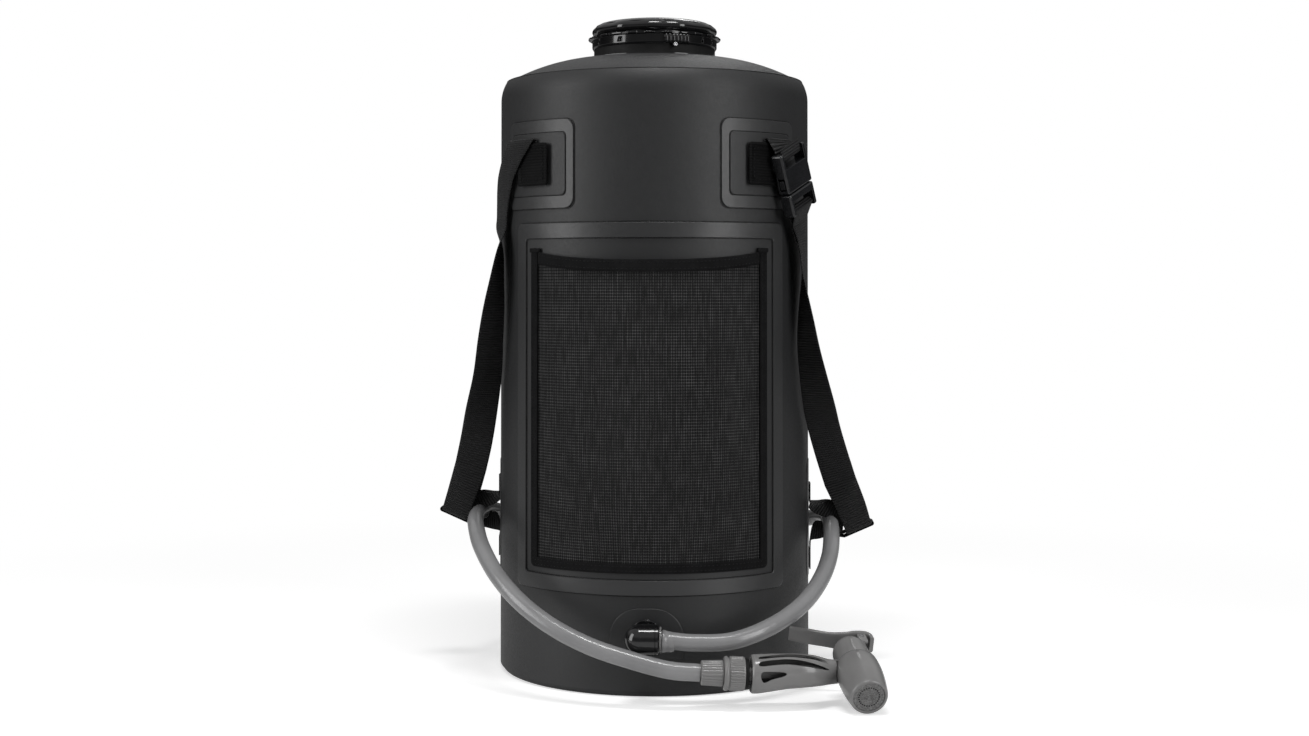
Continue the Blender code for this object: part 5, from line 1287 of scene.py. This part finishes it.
# The lid's section: shares of its radius and its height, and how deep the lobes are there.
lid_profile = (
    (0.0, 0.985, 0.0), (0.40, 0.985, 0.0), (0.60, 0.985, 0.0), (0.63, 0.96, 0.0), (0.645, 0.955, 0.0),
    (0.66, 0.975, 0.0), (0.70, 1.0, 0.02), (0.76, 0.985, 0.08), (0.83, 0.935, 0.25), (0.895, 0.85, 0.5),
    (0.945, 0.74, 0.8), (0.98, 0.61, 1.0), (0.997, 0.48, 1.0), (1.0, 0.37, 1.0), (0.992, 0.25, 1.0),
    (0.972, 0.14, 1.0), (0.95, 0.05, 0.9), (0.935, 0.0, 0.8),
)
lid_steps = lid_lobes * 16
lid_loops, lid_places = [], []
for radius_share, height_share, lobe_share in lid_profile:
    loop, run = [], []
    for angle in fan(2 * math.pi, lid_steps):
        wave = (1 - math.cos(lid_lobes * angle)) / 2
        radius = lid_radius * radius_share - 1.3 * mm * lobe_share * wave
        height = lid_bottom + lid_height * height_share
        loop.append((radius * math.cos(angle), radius * math.sin(angle), height))
        run.append((lid_radius * angle, lid_radius * radius_share))
    lid_loops.append(loop)
    lid_places.append(run)
lid_bore = spout_radius + 0.5 * mm
lid_floor = lid_bottom + lid_height - 2.8 * mm
for radius, height in ((lid_bore, lid_bottom), (lid_bore, lid_floor), (0, lid_floor)):
    lid_loops.append(circle(radius, height, lid_steps))
    lid_places.append([(lid_radius * a, radius) for a in fan(2 * math.pi, lid_steps)])
screw_lid = skinned("screw_lid", lid_loops, lid_places, black_look, smooth=45.0)
fitted(screw_lid, "lid", body="lid")


# Outlet elbow
# A glossy black elbow turns the water from a flange on the patch to the hose, which swells where it is pushed
# on it and held by a thin clip.

elbow_reach = 145.0 * mm
elbow_radius = 11.0 * mm
elbow_centre = Matrix.Translation((0, -elbow_reach, outlet_height))
along_x = Matrix.Rotation(math.pi / 2, 4, "Y")
facing_out = Matrix.Rotation(math.pi / 2, 4, "X")
into_tank = Matrix.Rotation(-math.pi / 2, 4, "X")
seat = wall_radius(outlet_height) + patch_thickness + 2 * seam_gap
stem_end = elbow_reach - seat - 3.0 * mm - seam_gap
stem_tip = stem_end + 7 * mm
bend = fan(math.pi / 2, 14)
outline = [(elbow_radius * math.sin(a), elbow_radius * (1 - math.cos(a)) - 14.5 * mm) for a in bend]
outline += sized((11.0, 7.4), (10.7, 7.6), (10.7, 8.0), (11.0, 8.2), (11.0, 9.9), (10.4, 10.5))
outline += sized((4.0, 10.5), (4.0, -2.0), (0, -4.0))
elbow = turned_piece("outlet_elbow", outline, black_look, elbow_centre @ along_x, closed=False, steps=72)
fitted(elbow, "elbow")
stem_outline = sized((0, 5.0), (8.0, 5.0)) + [(8.0 * mm, stem_end), (5.8 * mm, stem_end)]
stem_outline = rounded(stem_outline + [(5.8 * mm, stem_tip), (0, stem_tip)], 0.4 * mm)
stem = turned_piece("elbow_stem", stem_outline, black_look, elbow_centre @ into_tank, closed=False, steps=48)
fitted(stem)
flange = hooped(8.3 * mm, 10.6 * mm, seat + 0.2 * mm, seat + 2.6 * mm, 0.5 * mm)
flange_place = Matrix.Translation((0, 0, outlet_height)) @ facing_out
bulkhead = turned_piece("bulkhead_flange", flange, black_look, flange_place, steps=64)
fitted(bulkhead, "outlet_bulkhead")

clip_outline = hooped(6.5 * mm, 9.4 * mm, 10.7 * mm, 11.9 * mm, 0.3 * mm)
clip = turned_piece("clip_rim", clip_outline, grey_look, elbow_centre @ along_x, steps=64)
fitted(clip, "hose_clip")
swell_outline = sized((6.36, 12.2), (8.2, 12.2), (8.3, 13.8), (7.5, 16.0), (7.3, 19.5), (6.36, 22.0))
swell_outline = rounded(swell_outline, 0.9 * mm)
hose_way = (hose_line[12] - hose_line[0]).normalized().to_track_quat("Z", "Y").to_matrix().to_4x4()
swell_place = elbow_centre @ hose_way
swollen = turned_piece("hose_swell", swell_outline, hose_look, swell_place, 64, smooth=60.0)
fitted(swollen)


# Sprayer
# Grey moulded sprayer: a slotted handle and barrel in one, a screwed spray cap with a drilled plate, and a
# lever on a steel pin. A ribbed nut and a ribbed coupling sleeve join it to the hose.

handle_way = Vector((0.9921, 0.1194, -0.0376)).normalized()
handle_reach = 113.6 * mm
spray_way = Vector((0.1754, -0.9237, -0.3404)).normalized()
handle_joint = Vector(hose_route[-1]) + handle_way * (seam_gap + clearance + handle_reach)
head_y = spray_way.cross(handle_way).normalized()
head_x = head_y.cross(spray_way)
head_frame = Matrix.Translation(handle_joint) @ Matrix((head_x, head_y, spray_way)).transposed().to_4x4()
handle_axes = Matrix((handle_way, head_y, handle_way.cross(head_y))).transposed().to_4x4()
handle_frame = Matrix.Translation(handle_joint) @ handle_axes


def ribbed_piece(name, profile, ribs, place):
    """A ribbed ring turned about X, from (station, radius, depth of the ribs) round its section."""
    loops, places = [], []
    for station, radius, depth in [*profile, profile[0]]:
        loop, run = [], []
        for angle in fan(2 * math.pi, ribs * 8):
            wave = abs(math.sin(ribs * angle / 2)) ** 0.7
            reach = radius - depth * (1 - wave)
            loop.append((station, reach * math.cos(angle), reach * math.sin(angle)))
            run.append((station, radius * angle))
        loops.append(loop)
        places.append(run)
    obj = skinned(name, loops, places, grey_look, smooth=35.0)
    obj.matrix_world = place
    return obj


nut_low = -handle_reach
nut_high = nut_low + 15.8 * mm
bore = 5.2 * mm
nut_profile = []
for x, radius, depth in sized((0, 7.3, 0), (0.3, 8.1, 0), (0.8, 8.7, 0.5)):
    nut_profile.append((nut_low + x, radius, depth))
for x, radius, depth in sized((1.2, 9.35, 0.5), (0.5, 9.3, 0.2), (0, 8.9, 0), (0, 5.2, 0), (15.8, 5.2, 0)):
    nut_profile.append((nut_high - x, radius, depth))
fitted(ribbed_piece("ribbed_hose_nut", nut_profile, 24, handle_frame), "hose_nut")
sleeve_low = nut_high + seam_gap
bead = 3.8 * mm
ring_width = 2.6 * mm
sleeve_length = bead + 14.6 * mm - 3 * seam_gap - ring_width
sleeve_profile = sized(
    (0, 10.6, 0), (0.5, 11.6, 0), (1.1, 12.1, 0), (1.9, 12.2, 0), (2.7, 12.0, 0), (3.3, 11.4, 0),
    (3.8, 11.1, 0), (4.2, 11.5, 0.2), (4.7, 12.1, 0.5),
)
for x, radius, depth in sized((1.4, 12.1, 0.5), (0.9, 11.9, 0.1), (0.3, 11.7, 0), (0, 11.3, 0), (0, 5.2, 0)):
    sleeve_profile.append((sleeve_length - x, radius, depth))
sleeve_profile.append((0, bore, 0))
sleeve_place = handle_frame @ Matrix.Translation((sleeve_low, 0, 0))
sleeve = ribbed_piece("ribbed_sleeve", sleeve_profile, 36, sleeve_place)
fitted(sleeve, "coupling_sleeve", body="coupling")

ring_place = handle_frame @ Matrix.Translation((sleeve_low + sleeve_length + 0.15 * mm, 0, 0)) @ along_x
ring_outline = hooped(bore, 10.7 * mm, 0, ring_width, 0.5 * mm)
seal_ring = turned_piece("seal_ring", ring_outline, rubber_look, ring_place, steps=64)
fitted(seal_ring, "coupling_seal")

# The handle's sections: shares of its length, then its rise, way forward and radius as shares of its radius.
handle_start = 78.0 * mm
handle_radius = 13.7 * mm
handle_wall = 2.2 * mm
handle_shares = (
    (-1.0000, 0.000, 0.000, 0.934), (-0.9872, 0.000, 0.000, 1.000), (-0.9231, 0.022, 0.000, 1.007),
    (-0.7949, 0.117, 0.000, 0.964), (-0.6667, 0.204, 0.000, 0.912), (-0.5385, 0.219, -0.036, 0.869),
    (-0.4359, 0.175, -0.131, 0.818), (-0.3462, 0.044, -0.307, 0.737), (-0.2564, -0.161, -0.620, 0.650),
    (-0.1282, -0.263, -0.891, 0.613),
)


def ring_across(x, y, z, radius, steps=48):
    """A ring of points square to X, which doesn't come back to where it starts."""
    angles = fan(2 * math.pi, steps)[:-1]
    return [(x, y + radius * math.cos(a), z + radius * math.sin(a)) for a in angles]


def handle_rings(shares, shrink=0.0, smooth=40):
    """Rings round the handle through smooth sections."""
    keys = [Vector((x * handle_start, y * handle_radius, z * handle_radius)) for x, y, z, _ in shares]
    sizes = [Vector((r * handle_radius - shrink, 0, 0)) for *_, r in shares]
    return [ring_across(*p, size.x) for p, size in zip(smooth_line(keys, smooth), smooth_line(sizes, smooth))]


def solid_through(rings, place):
    """A closed mesh through rings, with caps."""
    bm = bmesh.new()
    rows = [[bm.verts.new(place @ Vector(point)) for point in ring] for ring in rings]
    count = len(rows[0])
    for first, second in zip(rows, rows[1:]):
        for i in range(count):
            j = (i + 1) % count
            bm.faces.new((first[i], first[j], second[j], second[i]))
    bm.faces.new(rows[0])
    bm.faces.new(rows[-1])
    bmesh.ops.recalc_face_normals(bm, faces=bm.faces)
    return bm


def solid_turned(outline, place, steps=64):
    """A closed mesh turned about its own Z, from (radius, height) up one side, with flat ends."""
    return solid_through([circle(radius, height, steps)[:-1] for radius, height in outline], place)


end_rings = handle_rings(handle_shares[:2], smooth=5)
rings = end_rings[:-1] + handle_rings(handle_shares[1:])
handle = solid("sprayer_handle", solid_through(rings, handle_frame))

# The outlines of the two slots and of the window, as shares of the handle's length and radius.
openings = (
    (
        (-0.949, 0.861), (-0.80, 0.97), (-0.667, 1.044), (-0.55, 1.02), (-0.449, 0.949), (-0.36, 0.83),
        (-0.300, 0.70), (-0.268, 0.60), (-0.285, 0.575), (-0.33, 0.63), (-0.449, 0.818), (-0.667, 0.912),
        (-0.82, 0.83), (-0.949, 0.73),
    ),
    (
        (-0.949, 0.613), (-0.80, 0.73), (-0.667, 0.788), (-0.55, 0.73), (-0.449, 0.599), (-0.36, 0.45),
        (-0.300, 0.33), (-0.286, 0.285), (-0.305, 0.27), (-0.36, 0.29), (-0.449, 0.365), (-0.667, 0.533),
        (-0.82, 0.45), (-0.949, 0.336),
    ),
    (
        (-0.926, 0.036), (-0.910, 0.095), (-0.88, 0.117), (-0.74, 0.117), (-0.705, 0.08), (-0.692, 0.02),
        (-0.71, -0.09), (-0.76, -0.17), (-0.82, -0.25), (-0.86, -0.37), (-0.885, -0.44), (-0.905, -0.44),
        (-0.92, -0.33), (-0.931, -0.146),
    ),
)
openings_frame = handle_frame @ Matrix.Rotation(math.radians(-32.0), 4, "X")
for shares in openings:
    outline = [Vector((x * handle_start, y * handle_radius, 0)) for x, y in shares]
    edge = []
    for i, corner in enumerate(outline):
        before, after = outline[i - 1], outline[(i + 1) % len(outline)]
        for t in (0.0, 0.33, 0.67):
            a, b = (before + corner) / 2, (corner + after) / 2
            edge.append(a * (1 - t) ** 2 + corner * 2 * t * (1 - t) + b * t**2)
    rings = [[(p.x, p.y, z) for p in edge] for z in (handle_wall / 2, handle_radius + 2 * mm)]
    cut_with(handle, "handle_opening", solid_through(rings, openings_frame))

cap_radius = 16.1 * mm
face = 28.0 * mm
barrel_front = 12.5 * mm
space_radius = cap_radius + 0.5 * mm
space = solid_turned([(space_radius, clearance - barrel_front), (space_radius, face)], head_frame)
cut_with(handle, "cap_space", space)
barrel_radius = 12.9 * mm
barrel_back, dome_depth = -42.0 * mm, 12.0 * mm
barrel = [(0.05 * mm, barrel_back)]
for a in fan(math.pi / 2, 14)[1:]:
    barrel.append((barrel_radius * math.sin(a) ** 0.9, barrel_back + dome_depth * (1 - math.cos(a))))
barrel += [(barrel_radius, -barrel_front - 0.4 * mm), (barrel_radius - 0.4 * mm, -barrel_front)]
barrel += [(12.2 * mm, -barrel_front), (12.2 * mm, 4.0 * mm)]
cut_with(handle, "barrel", solid_turned(barrel, head_frame), "UNION")
pivot_offset, pivot_back = 11.0 * mm, 44.0 * mm
knuckle_width = 8.4 * mm
ear_width, ear_thickness = 6.4 * mm, 2.4 * mm
ear_reach, ear_root = 3.2 * mm, 36.0 * mm
for sign in (-1, 1):
    near = knuckle_width / 2 + seam_gap
    low, high = sorted((sign * near, sign * (near + ear_thickness)))
    corners = (
        (pivot_offset - ear_width / 2, low, -pivot_back - ear_reach),
        (pivot_offset + ear_width / 2, high, -ear_root),
    )
    ear = box_in(head_frame, *corners)
    bmesh.ops.bevel(ear, geom=list(ear.edges), offset=0.8 * mm, segments=4, profile=0.5, affect="EDGES")
    cut_with(handle, "ear", ear, "UNION")
chamber = [(2.3 * mm, -pivot_back - 2 * mm), *sized((2.3, -31.0), (9.8, -31.0), (9.8, 6.0))]
cut_with(handle, "chamber", solid_turned(chamber, head_frame))
inner = handle_rings(handle_shares[2:-1], handle_wall, smooth=30)
mouth = [ring_across(x - handle_start, 0, 0, 4.9 * mm) for x in (-2 * mm, 2.5 * mm)]
cut_with(handle, "handle_hollow", solid_through(mouth + inner, handle_frame))
pivot = head_frame @ Matrix.Translation((pivot_offset, 0, -pivot_back))
cut_with(handle, "pin_way", solid_turned(sized((1.6, -12.4), (1.6, 12.4)), pivot @ facing_out, 32))


def shaded(piece, look, angle):
    """Gives a piece that was cut its finish, and smooth shading up to sharp edges."""
    piece.data.materials.clear()
    piece.data.materials.append(look)
    piece.data.shade_smooth()
    piece.data.set_sharp_from_angle(angle=math.radians(angle))


bevelled(handle, 0.35 * mm, 40)
settle(handle)
shaded(handle, grey_look, 40)
fitted(handle, "sprayer_body")

plate_thickness = 2.4 * mm
plate_seat = face - 0.7 * mm - plate_thickness - 2 * seam_gap
cap_outline = sized(
    (12.7, -12.0), (14.4, -12.0), (15.0, -11.6), (15.5, -10.4), (15.9, -6.0), (16.1, 1.0), (15.75, 9.0),
    (15.1, 16.0), (14.3, 22.0), (13.8, 25.2), (13.45, 26.7), (13.1, 27.5), (12.5, 27.9), (11.9, 27.95),
    (11.45, 27.8), (11.2, 27.4),
)
cap_outline += [(11.2 * mm, plate_seat), (9.6 * mm, plate_seat), *sized((9.6, 4.3), (12.7, 4.3))]
cap = turned_piece("spray_cap_shell", cap_outline, grey_look, head_frame, smooth=35.0)
fitted(cap, "spray_cap")

nozzle_count, nozzle_circle = 26, 7.3 * mm
plate_high = plate_seat + seam_gap + plate_thickness


def nozzles(radius, depth, height):
    """A round of short rods through the spray plate."""
    bm = bmesh.new()
    for x, y, z in circle(nozzle_circle, height, nozzle_count)[:-1]:
        rod = {"segments": 16, "radius1": radius, "radius2": radius, "depth": depth}
        bmesh.ops.create_cone(bm, cap_ends=True, matrix=head_frame @ Matrix.Translation((x, y, z)), **rod)
    return bm


# The plate's face: a groove outside the nozzles, and six fine ridges inside them.
plate = [(10.9, -2.4), (10.9, 0), (9.4, 0), (9.2, -0.25), (8.6, -0.25), (8.4, 0), (6.2, 0)]
for i in range(6):
    ridge = 5.7 - 0.9 * i
    plate += [(ridge + 0.25, -0.05), (ridge, 0.25), (ridge - 0.25, -0.05)]
plate = [(radius, plate_high + height) for radius, height in sized(*plate, (0.3, 0))]
spray_face = solid("spray_face", solid_turned(plate, head_frame, 96))
cut_with(spray_face, "nozzle_holes", nozzles(0.65 * mm, 3.0 * mm, plate_high))
face_look = patterned(
    "spray_face_plastic",
    0.35,
    clouds(0.0012),
    (0.07, 0.07, 0.07),
    (0.24, 0.238, 0.236),
    reliefs=[(clouds(0.0012), 0.3 * mm)],
)
shaded(spray_face, face_look, 35)
fitted(spray_face, "spray_plate")
# Black plugs just under the face, in the drilled holes: painted shade inside the nozzles.
hole_shade = nozzles(0.6 * mm, 0.5 * mm, plate_high - 0.35 * mm)
fitted(solid("nozzle_hole_shade", hole_shade, rubber_look))

coil_low, coil_high, coil_radius, wire, coil_turns = -18.8 * mm, -5.9 * mm, 5.5 * mm, 0.5 * mm, 6
coil_loops, coil_places = [], []
for share in fan(1.0, 240):
    turn = 2 * math.pi * coil_turns * share
    middle = coil_low + (coil_high - coil_low) * share
    loop = []
    for bend in fan(2 * math.pi, 10):
        reach = coil_radius + wire * math.cos(bend)
        loop.append((reach * math.cos(turn), reach * math.sin(turn), middle + wire * math.sin(bend)))
    coil_loops.append(loop)
    coil_places.append([(coil_radius * turn, wire * bend) for bend in fan(2 * math.pi, 10)])
coil = skinned("spring_coil", coil_loops, coil_places, steel_look, smooth=60.0)
coil.data.transform(head_frame)
fitted(coil, "valve_spring")
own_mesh(coil)

rod_back = 45.4 * mm
lever_thickness = 3.0 * mm
lever_reach, lever_drop = 39.0 * mm, 13.5 * mm
lever_half = Vector((0, 6.2 * mm, 0))
mid = pivot_back - rod_back - seam_gap - lever_thickness / 2
lever_run = [(7.5 * mm, 2.5 * mm, 1), (6.6 * mm, -2.0 * mm, 1.15), (2.5 * mm, mid - 0.6 * mm, 1.3)]
lever_run += [(-pivot_offset / 2, mid - 0.6 * mm, 1.35), (-pivot_offset, mid - 0.4 * mm, 1.25)]
for reach, drop, width in ((0.3, 0.22, 1), (0.68, 0.62, 1), (1, 1, 0.93)):
    lever_run.append((-pivot_offset - lever_reach * reach, mid - lever_drop * drop, width))
lever_keys = [free(Vector((x, 0, z)), lever_half * width) for x, z, width in lever_run]
lever = webbing_band("squeeze_lever", eased(lever_keys, 40), lever_thickness, grey_look)
lever.matrix_world = pivot
fitted(lever, "trigger_lever", body="trigger")
knuckle_outline = hooped(1.6 * mm, 3.0 * mm, -knuckle_width / 2, knuckle_width / 2, 0.4 * mm)
knuckle = turned_piece("lever_knuckle", knuckle_outline, grey_look, pivot @ facing_out, steps=48)
fitted(knuckle, body="trigger")

bpy.context.scene.view_settings.view_transform = "Standard"
